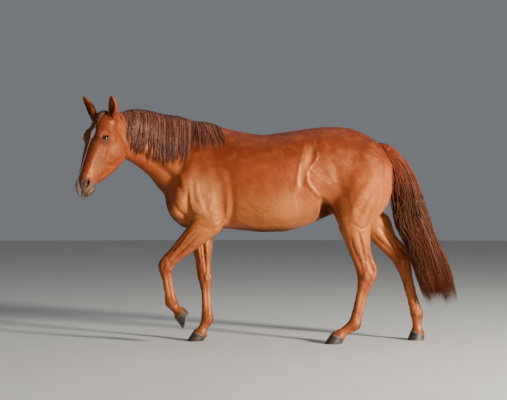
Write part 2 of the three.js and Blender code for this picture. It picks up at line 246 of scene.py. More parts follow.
def on_all(piece, operator, **settings):
    """Runs an operator of edit mode on the whole of a piece."""
    pick(piece)
    mode("EDIT")
    bpy.ops.mesh.select_all(action="SELECT")
    operator(**settings)
    mode("OBJECT")


def face_out(piece):
    """Turns the faces of a closed piece outwards."""
    on_all(piece, bpy.ops.mesh.normals_make_consistent, inside=False)


def cylinder(vertices, radius=1, depth=1, **settings):
    """A new upright cylinder with so many sides."""
    bpy.ops.mesh.primitive_cylinder_add(vertices=vertices, radius=radius, depth=depth, **settings)
    return bpy.context.object


def show(piece):
    """Puts a new object into the scene."""
    bpy.context.scene.collection.objects.link(piece)
    return piece


def join(pieces, onto):
    """Joins pieces to one of them."""
    bpy.ops.object.select_all(action="DESELECT")
    for piece in [*pieces, onto]:
        piece.select_set(True)
    bpy.context.view_layer.objects.active = onto
    bpy.ops.object.join()


GIRTH_ROUNDS = 8.0


def relax(co, edges, rounds):
    """Evens out a surface: each corner moves towards its neighbours' middle for its own number of rounds."""
    count = np.bincount(edges.ravel(), minlength=len(co))[:, None]
    a, b = edges[:, 0], edges[:, 1]
    for k in range(int(np.ceil(rounds.max()))):
        total = [np.bincount(a, line[b], len(co)) + np.bincount(b, line[a], len(co)) for line in co.T]
        co = co + (np.stack(total, 1) / count - co) * 0.5 * np.clip(rounds - k, 0, 1)[:, None]
    return co


def even_out(piece, rounds):
    """Relaxes a piece, then gives it back the girth that this took."""
    before, edges = corners(piece), edges_of(piece)
    move_corners(piece, relax(before, edges, rounds))
    after, out = corners(piece), normals(piece)
    lost = ((before - after) * out).sum(1)[:, None]
    lost = relax(lost, edges, np.full(len(before), GIRTH_ROUNDS))
    move_corners(piece, after + out * lost)


def split_near(piece, wanted):
    """Subdivides the faces whose corners are wanted, as in edit mode."""
    mesh = piece.data
    chosen = np.asarray(wanted, bool)
    pick(piece)
    mode("EDIT")
    bpy.ops.mesh.select_mode(type="VERT")
    bpy.ops.mesh.select_all(action="DESELECT")
    mode("OBJECT")
    mesh.vertices.foreach_set("select", chosen)
    mode("EDIT")
    bpy.ops.mesh.select_mode(type="FACE", use_extend=False, use_expand=False)
    bpy.ops.mesh.subdivide(number_cuts=1, smoothness=0)
    bpy.ops.mesh.select_all(action="DESELECT")
    mode("OBJECT")


# ---- Skin: the nodes of flesh made one smooth body ----

FLESH = [
    name
    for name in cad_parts
    if not name.startswith(("ear", "eye", "mane", "forelock", "tail")) and not name.endswith("hoof")
]
EARS = {
    "left": dict(at=(0.084, -0.073, -0.016), lean=39, splay=27, outward=20, side=LEFT),
    "right": dict(at=(0.050, 0.083, -0.026), lean=40, splay=17, outward=20, side=RIGHT),
}
EAR_LENGTH = 0.156


def ear_place(one):
    """Where an ear stands on the head: its own z runs up to the tip and its cup opens towards its own -x."""
    side = one["side"]
    turn = (
        Matrix.Rotation(math.radians(-one["splay"] * side), 3, "X")
        @ Matrix.Rotation(math.radians(-one["lean"]), 3, "Y")
        @ Matrix.Rotation(math.radians(-one["outward"] * side), 3, "Z")
    )
    return lambda points: from_head(np.asarray(points) @ np.array(turn).T + np.array(one["at"]))


HOOF_LENGTH, HOOF_WIDTH = 0.126, 0.122
CORONET_LENGTH, CORONET_WIDTH = 0.100, 0.097
CORONET_HEIGHT, CORONET_RISE = 0.057, 0.017


def hoof_place(leg):
    """Where a hoof stands: its own x runs back to the heel and z up from the sole."""
    pitch = math.radians(-leg["pitch"])
    c, s = math.cos(pitch), math.sin(pitch)
    turn = np.array([[c, 0, s], [0, 1, 0], [-s, 0, c]])
    middle = np.array([leg["lean"], 0, CORONET_HEIGHT])
    return lambda points: (np.asarray(points) - middle) @ turn.T + np.array(leg["joints"][0]) + BODY


def rough_body():
    """The flesh solids, a root for each ear and a band for each coronet, made one closed surface."""
    nodes = {name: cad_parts[name].data for name in FLESH}
    copies = [show(bpy.data.objects.new(f"flesh_{name}", mesh.copy())) for name, mesh in nodes.items()]
    for one in EARS.values():
        root = cylinder(20)
        co = corners(root)
        up = co[:, 2:] + 0.5
        wide = np.where(up > 0.5, 0.021, 0.030)
        move_corners(root, ear_place(one)(np.hstack([co[:, :2] * wide, up * 0.062 - 0.034])))
        copies.append(root)
    for leg in LEGS.values():
        band = cylinder(28)
        co = corners(band)
        x, y, up = co.T
        height = np.where(up < 0, 0.030, CORONET_HEIGHT - CORONET_RISE * x + 0.010)
        local = np.stack([x * 0.0500 + leg["lean"], y * 0.0480, height], 1)
        move_corners(band, hoof_place(leg)(local))
        copies.append(band)
    join(copies, copies[0])
    body = bpy.context.object
    body.name = "skin"
    body.data.materials.clear()
    on_all(body, bpy.ops.mesh.remove_doubles, threshold=0.00001)
    finish_with(body, "DISPLACE", strength=0.0006, mid_level=0.0)
    finish_with(body, "REMESH", mode="VOXEL", voxel_size=0.0155, use_smooth_shade=True)
    return body


def softness(co):
    """How many rounds of evening each place takes: most on the trunk, least on the face and feet."""
    p = co - BODY
    head = to_head(co)
    rounds = 6 + 74 * eased(p[:, 2], 0.62, 0.98)
    rounds = rounds * (1 - 0.86 * eased(unbend(co)[:, 0], -0.62, -0.74))
    on_head = eased(head[:, 2], 0.06, -0.02) * eased(p[:, 0], -0.50, -0.60)
    return rounds * (1 - on_head) + 5 * on_head


def nostril_middle(side):
    return np.array([0.030, 0.052 * side, -0.534])


def near_detail(co, reach):
    """Where the face needs fine corners: round the eyes, the nostrils and the mouth."""
    head = to_head(co)
    wanted = np.zeros(len(co), bool)
    for side in SIDES.values():
        eye = np.array([EYE.x, EYE.y * side, EYE.z])
        wanted |= np.linalg.norm(head - eye, axis=1) < reach
        wanted |= np.linalg.norm(head - nostril_middle(side), axis=1) < reach * 0.95
    return wanted


def refine(body):
    """Smaller faces where the form is fine: head, legs and flank, then muzzle, eyes and nostrils."""
    even_out(body, softness(corners(body)))
    co = corners(body)
    p = co - BODY
    head = to_head(co)
    flank = (p[:, 0] > 0.57) & (p[:, 0] < 0.86) & (p[:, 2] > 0.93) & (p[:, 2] < 1.50)
    on_head = (head[:, 2] < 0.02) & (co[:, 0] - BODY[0] < -0.52) & (head[:, 0] < 0.30)
    arm = (p[:, 0] > -0.26) & (p[:, 0] < 0.16) & (p[:, 2] < 1.20) & (np.abs(p[:, 1]) > 0.12)
    thigh = (p[:, 0] > 0.86) & (p[:, 2] < 1.16) & (np.abs(p[:, 1]) > 0.12)
    split_near(body, on_head | flank | arm | thigh | (p[:, 2] < 0.82))
    co = corners(body)
    head = to_head(co)
    even_out(body, 4.0 * ((co[:, 2] < 0.64) | (head[:, 2] < 0.03)))
    co = corners(body)
    split_near(body, near_detail(co, 0.075) | ((to_head(co)[:, 2] < -0.50) & (co[:, 2] > 0.9)))
    co = corners(body)
    move_corners(body, relax(co, edges_of(body), 2.0 * near_detail(co, 0.09)))
    split_near(body, near_detail(corners(body), 0.040))
    co = corners(body)
    move_corners(body, relax(co, edges_of(body), 2.0 * near_detail(co, 0.05)))


def on_the_head(body, head, below=-0.03, behind=0.34, jaw=0.28):
    """1 on the head, 0 on the neck."""
    return eased(head[:, 2], 0.05, below) * eased(body[:, 0], -0.50, -0.58) * eased(head[:, 0], behind, jaw)


class Relief:
    """Soft ridges and furrows gathered over a surface and pushed out along its normals at the end."""

    def __init__(self, piece):
        self.piece = piece
        self.co = corners(piece)
        self.normal = normals(piece)
        self.rise = np.zeros(len(self.co))
        body = self.co - BODY
        head = to_head(self.co)
        neck = unbend(self.co)
        head_normal = self.normal @ HEAD_TURN
        on_head = on_the_head(body, head, -0.02, 0.36, 0.32)
        on_neck = (1 - on_head) * eased(neck[:, 0], -0.16, -0.26) * (body[:, 2] > 0.9)
        turn = np.clip(NECK_START - neck[:, 0], 0, NECK_LENGTH) / NECK_ROUND
        back, aside = self.normal[:, 0], self.normal[:, 1]
        neck_out = (aside * np.cos(turn) - back * np.sin(turn)) * np.sign(neck[:, 1])
        head_out = head_normal[:, 1] * np.sign(head[:, 1])
        body_out = aside * np.sign(body[:, 1])
        on_trunk = (1 - on_head) * eased(neck[:, 0], -0.42, -0.30) * eased(body_out, 0.05, 0.35)
        on_face = on_head * eased(-head_normal[:, 0], 0.1, 0.5)
        across = np.stack([np.abs(body[:, 1]), body[:, 2]], 1)
        self.spaces = {
            "trunk": (body[:, [0, 2]], on_trunk),
            "neck": (neck[:, [0, 2]], on_neck * eased(neck_out, 0.1, 0.4)),
            "head": (head[:, [0, 2]], on_head * eased(head_out, 0.1, 0.4)),
            "face": (np.stack([np.abs(head[:, 1]), head[:, 2]], 1), on_face),
            "muzzle": (head[:, [0, 2]], on_head * eased(head[:, 2], -0.50, -0.53)),
            "breast": (across, (1 - on_head) * eased(-back, 0.2, 0.6) * eased(body[:, 0], -0.1, -0.2)),
            "rump": (across, eased(back, 0.2, 0.6) * eased(body[:, 0], 1.0, 1.1)),
        }
        for name, leg in LEGS.items():
            mine = (np.sign(body[:, 1]) == leg["side"]) & ((body[:, 0] < 0.45) == leg["fore"])
            low = eased(body[:, 2], 0.95, 0.80)
            self.spaces[name] = (body[:, [0, 2]], mine * low * eased(np.abs(aside), 0.1, 0.5))

    def along(self, space, rows):
        """A ridge on a line of (across, up, width, height); below zero it is a furrow."""
        flat, weight = self.spaces[space]
        line = spline(rows, 5)
        margin = 2.6 * line[:, 2].max()
        low, high = line[:, :2].min(0) - margin, line[:, :2].max(0) + margin
        near = np.flatnonzero((weight > 0) & (flat >= low).all(1) & (flat <= high).all(1))
        if not len(near):
            return
        p = flat[near][:, None]
        a, step = line[:-1, :2], np.diff(line[:, :2], axis=0)
        share = np.clip(((p - a) * step).sum(2) / np.maximum((step**2).sum(1), 1e-12), 0, 1)
        gap = np.linalg.norm(p - a - share[..., None] * step, axis=2)
        best = gap.argmin(1)
        rows_at = np.arange(len(near))
        t = share[rows_at, best][:, None]
        size = line[:-1][best, 2:4] * (1 - t) + line[1:][best, 2:4] * t
        self.rise[near] += weight[near] * size[:, 1] * np.exp(-((gap[rows_at, best] / size[:, 0]) ** 2))

    def at(self, space, middle, size, height, tilt=0.0):
        """A rounded bump or hollow, tilted by so many degrees."""
        flat, weight = self.spaces[space]
        c, s = math.cos(math.radians(tilt)), math.sin(math.radians(tilt))
        d = (flat - np.array(middle)) @ np.array([[c, -s], [s, c]])
        self.rise += weight * height * np.exp(-((d / np.array(size)) ** 2).sum(1))

    def on_leg(self, name, rows):
        """As along, with rows of (joint, share of the way up to the next, ahead, width, height)."""
        joints = [np.array([x, z]) for x, _, z in LEGS[name]["joints"]]
        placed = []
        for joint, share, ahead, width, height in rows:
            low, high = joints[joint], joints[min(joint + 1, 3)]
            way = joints[min(joint + 1, 3)] - joints[min(joint, 2)]
            way = way / np.linalg.norm(way)
            x, z = low + (high - low) * share + ahead * np.array([-way[1], way[0]])
            placed.append((x, z, width, height))
        self.along(name, placed)

    def press(self):
        move_corners(self.piece, self.co + self.normal * self.rise[:, None])


MM = 1000

# The forms of the flesh over the solids, all in millimetres. A list is a line of (across, up, half width,
# rise), a furrow where the rise is below zero. A tuple is one bump: across, up, its reach across and up, its
# rise and its tilt in degrees.
FORMS = {
    "trunk": [
        # Shoulder: the blade's spine, the muscles beside it, and the long head behind down to the elbow.
        [(-50, 1500, 30, 0), (-90, 1400, 24, 4), (-120, 1290, 22, 5), (-150, 1150, 25, 3)],
        [(-150, 1400, 30, 0), (-190, 1300, 26, -6), (-235, 1160, 26, -9), (-262, 1050, 30, -4)],
        (-20, 1270, 45, 130, 7, 16),
        [(-143, 1160, 11, 0), (-138, 1100, 10, 4), (-128, 1020, 10, 5), (-118, 950, 11, 2)],
        [(-90, 1190, 12, 0), (-85, 1120, 11, 4), (-62, 1040, 11, 4), (-45, 970, 12, 0)],
        [(0, 1180, 12, 0), (26, 1100, 12, 2), (22, 1020, 12, 3), (-4, 950, 12, 1)],
        [(-110, 1200, 10, 0), (-115, 1120, 10, -2), (-100, 1040, 10, -3), (-85, 980, 10, 0)],
        [(-30, 1130, 11, 0), (-22, 1080, 10, -2), (-18, 1000, 10, -3), (-10, 950, 11, 0)],
        (45, 865, 30, 26, 6, 0),
        (20, 1100, 75, 100, 10, -14),
        (-100, 1060, 35, 90, 9, 0),
        [
            (-142, 1140, 14, 0), (-150, 1060, 13, -7), (-146, 985, 13, -10), (-128, 935, 14, -9),
            (-84, 909, 14, -4),
        ],
        [(-55, 1120, 16, 0), (-45, 1040, 14, -4), (-20, 960, 14, -5), (20, 910, 16, 0)],
        [(75, 1250, 22, 0), (112, 1150, 20, 3), (128, 1050, 19, 5), (128, 950, 17, 7), (115, 880, 18, 3)],
        [
            (100, 1300, 26, 0), (148, 1180, 24, -4), (166, 1060, 21, -7), (165, 950, 19, -10),
            (150, 870, 20, -6),
        ],
        (-205, 1010, 40, 55, 10, 20),
        [(-262, 1030, 15, 0), (-225, 965, 14, -8), (-165, 905, 14, -10), (-120, 880, 14, -4)],
        # Folds where the lifted foreleg meets the body.
        [(-78, 872, 6, 0), (-60, 852, 7, -5), (-30, 836, 7, -6), (4, 832, 6, 0)],
        [(-60, 898, 7, 0), (-25, 888, 8, -4), (12, 900, 7, 0)],
        [(30, 860, 8, 0), (60, 875, 8, -4), (100, 900, 8, 0)],
        # The vein along the belly.
        [(165, 905, 8, 0), (240, 872, 8, 4), (330, 845, 8, 4), (420, 840, 8, 0)],
        # The edge of the ribs, the hollow of the flank and the fold that runs down to the stifle.
        [
            (735, 1500, 14, 0), (690, 1465, 12, 2.5), (666, 1384, 11, 3.5), (648, 1313, 11, 3.5),
            (632, 1242, 10, 3.5), (622, 1157, 11, 3), (597, 1095, 13, 3), (606, 990, 14, 3),
            (620, 900, 16, 0),
        ],
        (712, 1400, 40, 85, -10, 0),
        [(665, 1300, 18, 0), (655, 1220, 18, -5), (655, 1150, 18, -5), (680, 1080, 20, 0)],
        [
            (750, 1500, 10, 0), (745, 1434, 8.5, 3.2), (764, 1350, 8.5, 4.2), (752, 1310, 9, 4.5),
            (709, 1256, 10, 5), (689, 1214, 12, 6), (701, 1143, 13, 6.8), (741, 1095, 13, 7.2),
            (785, 1046, 11, 5),
        ],
        (745, 1200, 45, 50, 2, 0),
        (805, 1440, 45, 40, 9, 0),
        # The groin, open between belly and thigh.
        [
            (795, 1045, 14, -6), (822, 1000, 26, -34), (838, 955, 34, -64), (848, 905, 42, -80),
            (856, 850, 50, -60),
        ],
        [(770, 1020, 14, 0), (778, 970, 14, 8), (765, 920, 14, 10), (742, 880, 14, 6)],
        # Croup and thigh.
        (930, 1400, 100, 90, 6, 0),
        [(860, 1380, 30, 0), (900, 1240, 28, -4), (930, 1120, 28, -4), (940, 1020, 30, 0)],
        [
            (1262, 1300, 26, 0), (1205, 1250, 24, 6), (1140, 1171, 24, 6), (1090, 1095, 24, 7),
            (1044, 1020, 22, 7), (1015, 940, 22, 5), (1000, 870, 22, 0),
        ],
        [
            (1250, 1215, 20, 0), (1195, 1160, 20, -4), (1140, 1075, 18, -6), (1105, 1010, 16, -8),
            (1070, 930, 15, -6), (1050, 870, 16, 0),
        ],
        [
            (1270, 1200, 22, 0), (1235, 1060, 22, 4), (1185, 960, 19, 6), (1135, 885, 17, 5),
            (1100, 840, 17, 0),
        ],
        [(1150, 1000, 12, 0), (1140, 935, 12, -5), (1105, 875, 12, -5), (1070, 845, 12, 0)],
        (945, 885, 30, 40, 8, 0),
        [(1010, 868, 10, 0), (1045, 848, 10, -5), (1095, 826, 10, -6), (1150, 862, 10, 0)],
    ],
    "rump": [
        (130, 985, 120, 55, -16, 0),
        (275, 1190, 85, 230, -24, 0),
        (130, 880, 100, 50, 6, 0),
        [(0, 1380, 16, -10), (0, 1200, 18, -20), (0, 1050, 20, -26), (0, 920, 22, -20)],
    ],
    "breast": [
        [(0, 1220, 18, -4), (0, 1100, 18, -14), (0, 980, 20, -18), (0, 880, 22, -12)],
        (85, 1030, 55, 75, 12, 0),
    ],
    "neck": [
        [
            (-700, 1425, 16, 0), (-600, 1372, 18, -6), (-500, 1330, 20, -7), (-400, 1268, 22, -9),
            (-300, 1185, 24, -11), (-235, 1090, 26, -6),
        ],
        [
            (-700, 1468, 24, 0), (-570, 1415, 28, 6), (-440, 1352, 32, 8), (-320, 1270, 36, 9),
            (-220, 1150, 40, 6),
        ],
        [(-660, 1535, 22, 0), (-520, 1455, 26, -5), (-380, 1375, 28, -7), (-250, 1295, 30, -6)],
        [(-680, 1600, 30, 0), (-500, 1560, 40, 5), (-300, 1490, 50, 5), (-120, 1420, 50, 0)],
    ],
    "head": [
        [(70, -235, 16, 0), (80, -280, 16, 3.5), (90, -325, 16, 4), (98, -370, 16, 0)],
        [(100, -250, 18, 0), (112, -300, 18, -3), (124, -350, 18, 0)],
        [(52, -250, 16, 0), (56, -320, 20, -3), (54, -400, 20, -3), (50, -475, 18, 0)],
        [(26, -240, 12, 0), (24, -340, 11, 3), (26, -460, 10, 1)],
        [(118, -335, 14, 0), (145, -352, 14, -6), (185, -348, 14, -6), (225, -318, 14, 0)],
        [
            (300, -200, 16, 0), (285, -260, 14, 3), (248, -325, 13, 4), (205, -390, 12, 4),
            (165, -460, 12, 0),
        ],
        [(255, -190, 18, 0), (245, -250, 16, -4), (215, -305, 14, -3)],
        [(175, -385, 14, 0), (150, -425, 14, -5), (128, -480, 14, 0)],
        (72, -128, 22, 28, -6, 0),
        (20, -155, 30, 30, -5, 0),
        [(92, -222, 16, 0), (112, -182, 18, 2.5), (122, -135, 18, 2.5), (116, -85, 16, 0)],
        [
            (112, -55, 14, 0), (165, -85, 15, -8), (225, -140, 16, -10), (285, -200, 16, -6),
            (315, -270, 16, 0),
        ],
        [(172, -392, 5, 0), (140, -350, 6, 1.2), (105, -312, 6, 1.3), (72, -275, 6, 1), (60, -245, 5, 0)],
        [(30, -500, 10, -3), (36, -475, 12, -5), (40, -440, 12, 0)],
    ],
    "face": [
        (36, -75, 24, 40, 4, 0),
        [(0, -30, 12, 0), (0, -90, 12, -3), (0, -150, 14, 0)],
        (0, -545, 12, 20, -3, 0),
    ],
    "muzzle": [
        # Lips and chin.
        [(52, -645, 6, -7), (62, -612, 6, -8), (76, -578, 5, -7), (92, -550, 5, -5), (103, -532, 5, -2)],
        [(36, -620, 9, 2), (52, -580, 9, 3), (72, -550, 9, 2)],
        [(80, -615, 8, 2), (94, -578, 8, 3), (106, -552, 8, 2)],
        [(104, -512, 4, 0), (112, -528, 4, -2), (112, -545, 4, 0)],
    ],
}

# Finer ridges and grooves: (across, up) from and to, half width and rise.
STROKES = {
    "trunk": [
        (-141, 1134, -133, 958, 9.5, 2.4), (-80, 1160, -97, 1081, 8.5, 2.2),
        (-97, 1081, -67, 1020, 8.5, 2.2), (3, 1140, 20, 1070, 9.5, 2), (-124, 941, -40, 906, 8.5, -3.2),
        (-198, 1059, -159, 1085, 7, 2.4), (-233, 976, -163, 923, 11, 3), (-180, 923, -128, 897, 8.5, -3.2),
        (-75, 871, -14, 831, 7.5, 2.4), (-58, 853, 3, 818, 7, -2.6), (1238, 1183, 1098, 888, 24, -4),
        (986, 1127, 1028, 916, 14, 3),
    ],
    "foreleg_left": [
        (-102, 809, -286, 656, 8.5, -5.2), (-41, 818, -268, 634, 8, 4.2), (3, 792, -163, 695, 8, -4.6),
        (-163, 695, -264, 607, 7.5, -4.2), (21, 757, -102, 695, 9.5, 3.4), (-321, 642, -343, 564, 11, 4),
        (-290, 616, -277, 546, 7.5, -4),
    ],
    "foreleg_right": [(-67, 739, -40, 555, 7.5, -4), (-32, 730, -18, 555, 7.5, 3)],
    "hindleg_left": [
        (1056, 832, 1126, 692, 9.5, 2.2), (1014, 804, 1042, 636, 10.5, -2),
        (1120, 800, 1165, 620, 9.5, -2.2), (1080, 580, 1100, 500, 8.5, -2.6),
    ],
}

# Lines on the legs: (joint, share of the way up to the next, ahead of the bone, half width, rise).
LEG_FORMS = {
    "fore": [
        [(2, 0.95, 30, 22, 0), (2, 0.7, 34, 20, 7), (2, 0.45, 28, 16, 6), (2, 0.2, 18, 12, 0)],
        [(2, 0.95, -6, 10, 0), (2, 0.7, -4, 9, -9), (2, 0.4, -6, 8, -9), (2, 0.12, -8, 7, -4)],
        [(2, 0.92, 22, 8, 0), (2, 0.7, 20, 7, -5), (2, 0.42, 14, 6, -5), (2, 0.18, 10, 6, 0)],
        [(2, 0.88, 8, 7, 0), (2, 0.66, 8, 6, 4), (2, 0.36, 4, 6, 4), (2, 0.16, 2, 6, 0)],
        [(2, 0.02, -4, 10, 4), (1, 0.94, -6, 10, 4)],
        [(2, 0.05, 10, 6, -4), (1, 0.97, 10, 6, -3)],
        [(2, 0.9, -40, 18, 0), (2, 0.65, -32, 16, 6), (2, 0.35, -26, 13, 3)],
        [(2, 0.85, 60, 8, 0), (2, 0.6, 50, 7, -4), (2, 0.3, 34, 6, -2)],
        [(2, 0.1, -44, 13, 0), (2, 0.03, -48, 12, 7), (1, 0.96, -44, 13, 2)],
        [(2, 0.1, 28, 12, 3), (2, 0.02, 34, 10, 2), (1, 0.93, 28, 12, 4)],
        [(2, 0.01, -20, 7, -3), (2, 0.01, 30, 6, -3)],
        [(1, 0.9, -4, 6, -2), (1, 0.7, -5, 6, -6), (1, 0.35, -6, 6, -6), (1, 0.12, -7, 6, -2)],
        [(1, 0.8, -19, 5, 0), (1, 0.5, -19, 5, -3), (1, 0.2, -21, 5, 0)],
    ],
    "hind": [
        [(2, 0.95, 20, 26, 0), (2, 0.72, 24, 24, 8), (2, 0.5, 20, 18, 6), (2, 0.3, 14, 14, 0)],
        [(2, 0.95, -18, 14, 0), (2, 0.75, -16, 12, -8), (2, 0.5, -14, 10, -10), (2, 0.3, -16, 9, -5)],
        [(2, 0.85, 46, 10, 0), (2, 0.62, 42, 9, -5), (2, 0.38, 30, 8, -4), (2, 0.2, 22, 8, 0)],
        [(2, 0.8, 0, 6, 0), (2, 0.55, 4, 6, 4), (2, 0.3, 8, 6, 4), (2, 0.1, 14, 6, 0)],
        [(2, 0.02, 26, 8, 4), (1, 0.93, 18, 8, 3)],
        [(2, 0.52, -48, 12, 0), (2, 0.34, -46, 13, -9), (2, 0.18, -50, 14, -13), (2, 0.05, -46, 12, -5)],
        [(2, 0.06, 10, 14, 6), (1, 0.96, 4, 14, 4)],
        [(2, 0.14, -74, 10, 4), (2, 0, -62, 10, 3), (1, 0.86, -34, 10, 3)],
        [(2, 0, -34, 9, -5), (1, 0.9, -18, 8, -5), (1, 0.8, -10, 7, -3)],
        [(1, 0.86, -4, 7, -2), (1, 0.65, -4, 7, -6), (1, 0.35, -5, 7, -6), (1, 0.12, -8, 6, -2)],
        [(1, 0.8, -20, 5, 0), (1, 0.5, -20, 5, -3), (1, 0.2, -22, 5, 0)],
    ],
    "both": [
        [(1, 0.05, -34, 14, 5), (0, 0.92, -30, 12, 4)],
        [(1, 0.02, 4, 14, 3), (0, 0.95, 2, 14, 2)],
        [(0, 0.75, -18, 7, -3), (0, 0.4, -14, 7, -5), (0, 0.15, -12, 7, 0)],
    ],
}


RIBS, FIRST_RIB, RIB_STEP = 10, 0.225, 0.047
RIB = np.array([(-10, 1300, 15, 0), (12, 1200, 15, 1.1), (30, 1080, 15, 1.1), (40, 970, 16, 0)]) / MM


def shape_flesh(relief):
    """Draws every form of the tables, and the ribs."""
    for space, forms in FORMS.items():
        for form in forms:
            if isinstance(form, list):
                relief.along(space, np.array(form) / MM)
            else:
                across, up, wide, tall, rise = (value / MM for value in form[:5])
                relief.at(space, (across, up), (wide, tall), rise, form[5])
    for k in range(RIBS):
        relief.along("trunk", RIB + [FIRST_RIB + RIB_STEP * k, 0, 0, 0])
    for space, strokes in STROKES.items():
        for stroke in strokes:
            ax, az, bx, bz, width, rise = (value / MM for value in stroke)
            steps = [(t, rise * math.sin(math.pi * (0.12 + 0.76 * t))) for t in (0, 0.3, 0.7, 1)]
            relief.along(space, [(mix(ax, bx, t), mix(az, bz, t), width, height) for t, height in steps])
    for name, leg in LEGS.items():
        for form in LEG_FORMS["fore" if leg["fore"] else "hind"] + LEG_FORMS["both"]:
            rows = [(joint, share, *(size / MM for size in sizes)) for joint, share, *sizes in form]
            relief.on_leg(name, rows)




def axes(out, along):
    """Three directions square to each other: the first as given, the second close to it."""
    out = unit(np.array(out))
    along = unit(along - out * (along @ out))
    return out, along, np.cross(out, along)


def eye_axes(side):
    """Out of the eye, along the slit from its front corner to its back one, and up across it."""
    out, along, up = axes([-0.34, 0.93 * side, 0.12], np.array([0.80, 0.0, 0.60]))
    return out, along, up * np.sign(up[2])


def eye_centre(side):
    """The middle of the eyeball in head coordinates, a little deeper than its solid."""
    return np.array([EYE.x, EYE.y * side, EYE.z]) - eye_axes(side)[0] * EYE_DEPTH


LID_HALF, LID_TOP, LID_LOW = 0.0212, 0.0112, 0.0088
LID_SLANT = 0.0014
ALMOND = 1.7


def almond(u, v, half=LID_HALF, top=LID_TOP, low=LID_LOW):
    """1 on the rims of the lids, less inside the opening, which is pointed at both corners."""
    v = v - LID_SLANT * (u / half)
    tall = np.where(v > 0, top, low)
    return (np.abs(u / half) ** ALMOND + np.abs(v / tall) ** ALMOND) ** (1 / ALMOND)


# Folds above the slit and below it: rise, how far out from it, half width, up or down, where it fades in.
LID_FOLDS = [
    (-0.0030, 1.00, 0.11, 1, -0.006, 0.006),
    (0.0016, 1.30, 0.16, 1, -0.004, 0.008),
    (-0.0011, 1.00, 0.12, -1, 0.000, 0.008),
    (-0.0009, 1.42, 0.12, -1, 0.004, 0.016),
]


def shape_eyes(piece):
    """Lids round each eyeball: a rim that hugs it, an almond opening, creases and the brow above."""
    co = corners(piece)
    head = to_head(co)
    ball = EYE_RADIUS + 0.0024
    start = 0.0160
    high = math.sqrt(ball**2 - start**2)
    for side in SIDES.values():
        out, along, up = eye_axes(side)
        d = head - eye_centre(side)
        u, v, w = d @ along, d @ up, d @ out
        far = np.hypot(u, v)
        near = (far < 0.075) & (w > -0.02)
        over = np.sqrt(np.maximum(ball**2 - np.minimum(far, start) ** 2, 0))
        slope = 0.011
        beyond = high - start / high * slope * (1 - np.exp(-np.maximum(far - start, 0) / slope))
        lid = np.where(far < start, over, beyond)
        hug = eased(far, 0.050, 0.021)
        height = w * (1 - hug) + lid * hug
        rim = almond(u, v)
        height += 0.0010 * hump(rim, 1.16, 0.20)
        fold = almond(u, v, 0.0275, 0.0195, 0.0160)
        for rise, middle, wide, way, low, full in LID_FOLDS:
            height += rise * hump(fold, middle, wide) * eased(way * v, low, full)
        height -= 0.014 * eased(rim, 1.05, 0.90)
        head = head + np.where(near, height - w, 0)[:, None] * out
    move_corners(piece, from_head(head))


def shape_nostrils(piece):
    """Each nostril: a curved opening that goes up and back, under a rim."""
    co = corners(piece)
    head = to_head(co)
    for side in SIDES.values():
        out, along, back = axes([-0.50, 0.84 * side, -0.12], np.array([0.28, 0.0, 0.96]))
        d = head - nostril_middle(side)
        u, v, w = d @ back * np.sign(back[0]), d @ along, d @ out
        near = (np.hypot(u, v) < 0.055) & (w > -0.04)
        # The opening bows back towards the cheek, widest below its middle.
        bow = 0.006 * (1 - (v / 0.028) ** 2)
        wide = 0.0112 * np.sqrt(np.maximum(1 - (v / 0.029) ** 2, 0)) * (1 - 8 * v)
        r = np.hypot((u - bow) / np.maximum(wide, 0.003), np.maximum(np.abs(v) - 0.020, 0) / 0.009)
        inside = eased(r, 1.05, 0.45)
        depth = inside * (0.016 + 0.012 * eased(v, -0.015, 0.02))
        rim = 0.0042 * hump(r, 1.40, 0.45) * eased(np.abs(v), 0.045, 0.03)
        head = head + np.where(near, rim - depth, 0)[:, None] * out
        head = head + (near * inside * 0.004)[:, None] * along
    move_corners(piece, from_head(head))


def piece_from(name, co, faces, uv=None, values=None):
    """A piece from rows of corners and faces of three or four corners each."""
    faces = np.asarray(faces, np.int32)
    mesh = bpy.data.meshes.new(name)
    mesh.vertices.add(len(co))
    mesh.vertices.foreach_set("co", np.asarray(co, np.float32).ravel())
    mesh.loops.add(faces.size)
    mesh.loops.foreach_set("vertex_index", faces.ravel())
    mesh.polygons.add(len(faces))
    mesh.polygons.foreach_set("loop_start", np.arange(len(faces), dtype=np.int32) * faces.shape[1])
    mesh.polygons.foreach_set("loop_total", np.full(len(faces), faces.shape[1], np.int32))
    mesh.update(calc_edges=True)
    if uv is not None:
        layer = mesh.uv_layers.new(name="OFBake")
        layer.data.foreach_set("uv", np.asarray(uv, np.float32)[faces.ravel()].ravel())
    for key, value in (values or {}).items():
        attribute = mesh.attributes.new(key, "FLOAT", "POINT")
        attribute.data.foreach_set("value", np.asarray(value, np.float32))
    mesh.polygons.foreach_set("use_smooth", np.ones(len(faces), bool))
    return show(bpy.data.objects.new(name, mesh))


def tube_faces(rings, around, closed=False):
    """Faces between rings of corners, numbered ring by ring."""
    k = np.arange(rings if closed else rings - 1)[:, None]
    j = np.arange(around)[None]
    beside = (j + 1) % around
    here, there = k * around, (k + 1) % rings * around
    return np.stack([here + j, there + j, there + beside, here + beside], 2).reshape(-1, 4)


def end_faces(rings, around, order=1):
    """Faces that close both ends of such a tube, laid across it; an order of -1 turns them over."""
    caps = []
    for start, way in ((0, order), ((rings - 1) * around, -order)):
        for k in range(around // 2 - 1):
            caps.append([start + k, start + k + 1, start + around - 2 - k, start + around - 1 - k][::way])
    return caps


# ---- Ears: a leaf rolled into a cup ----

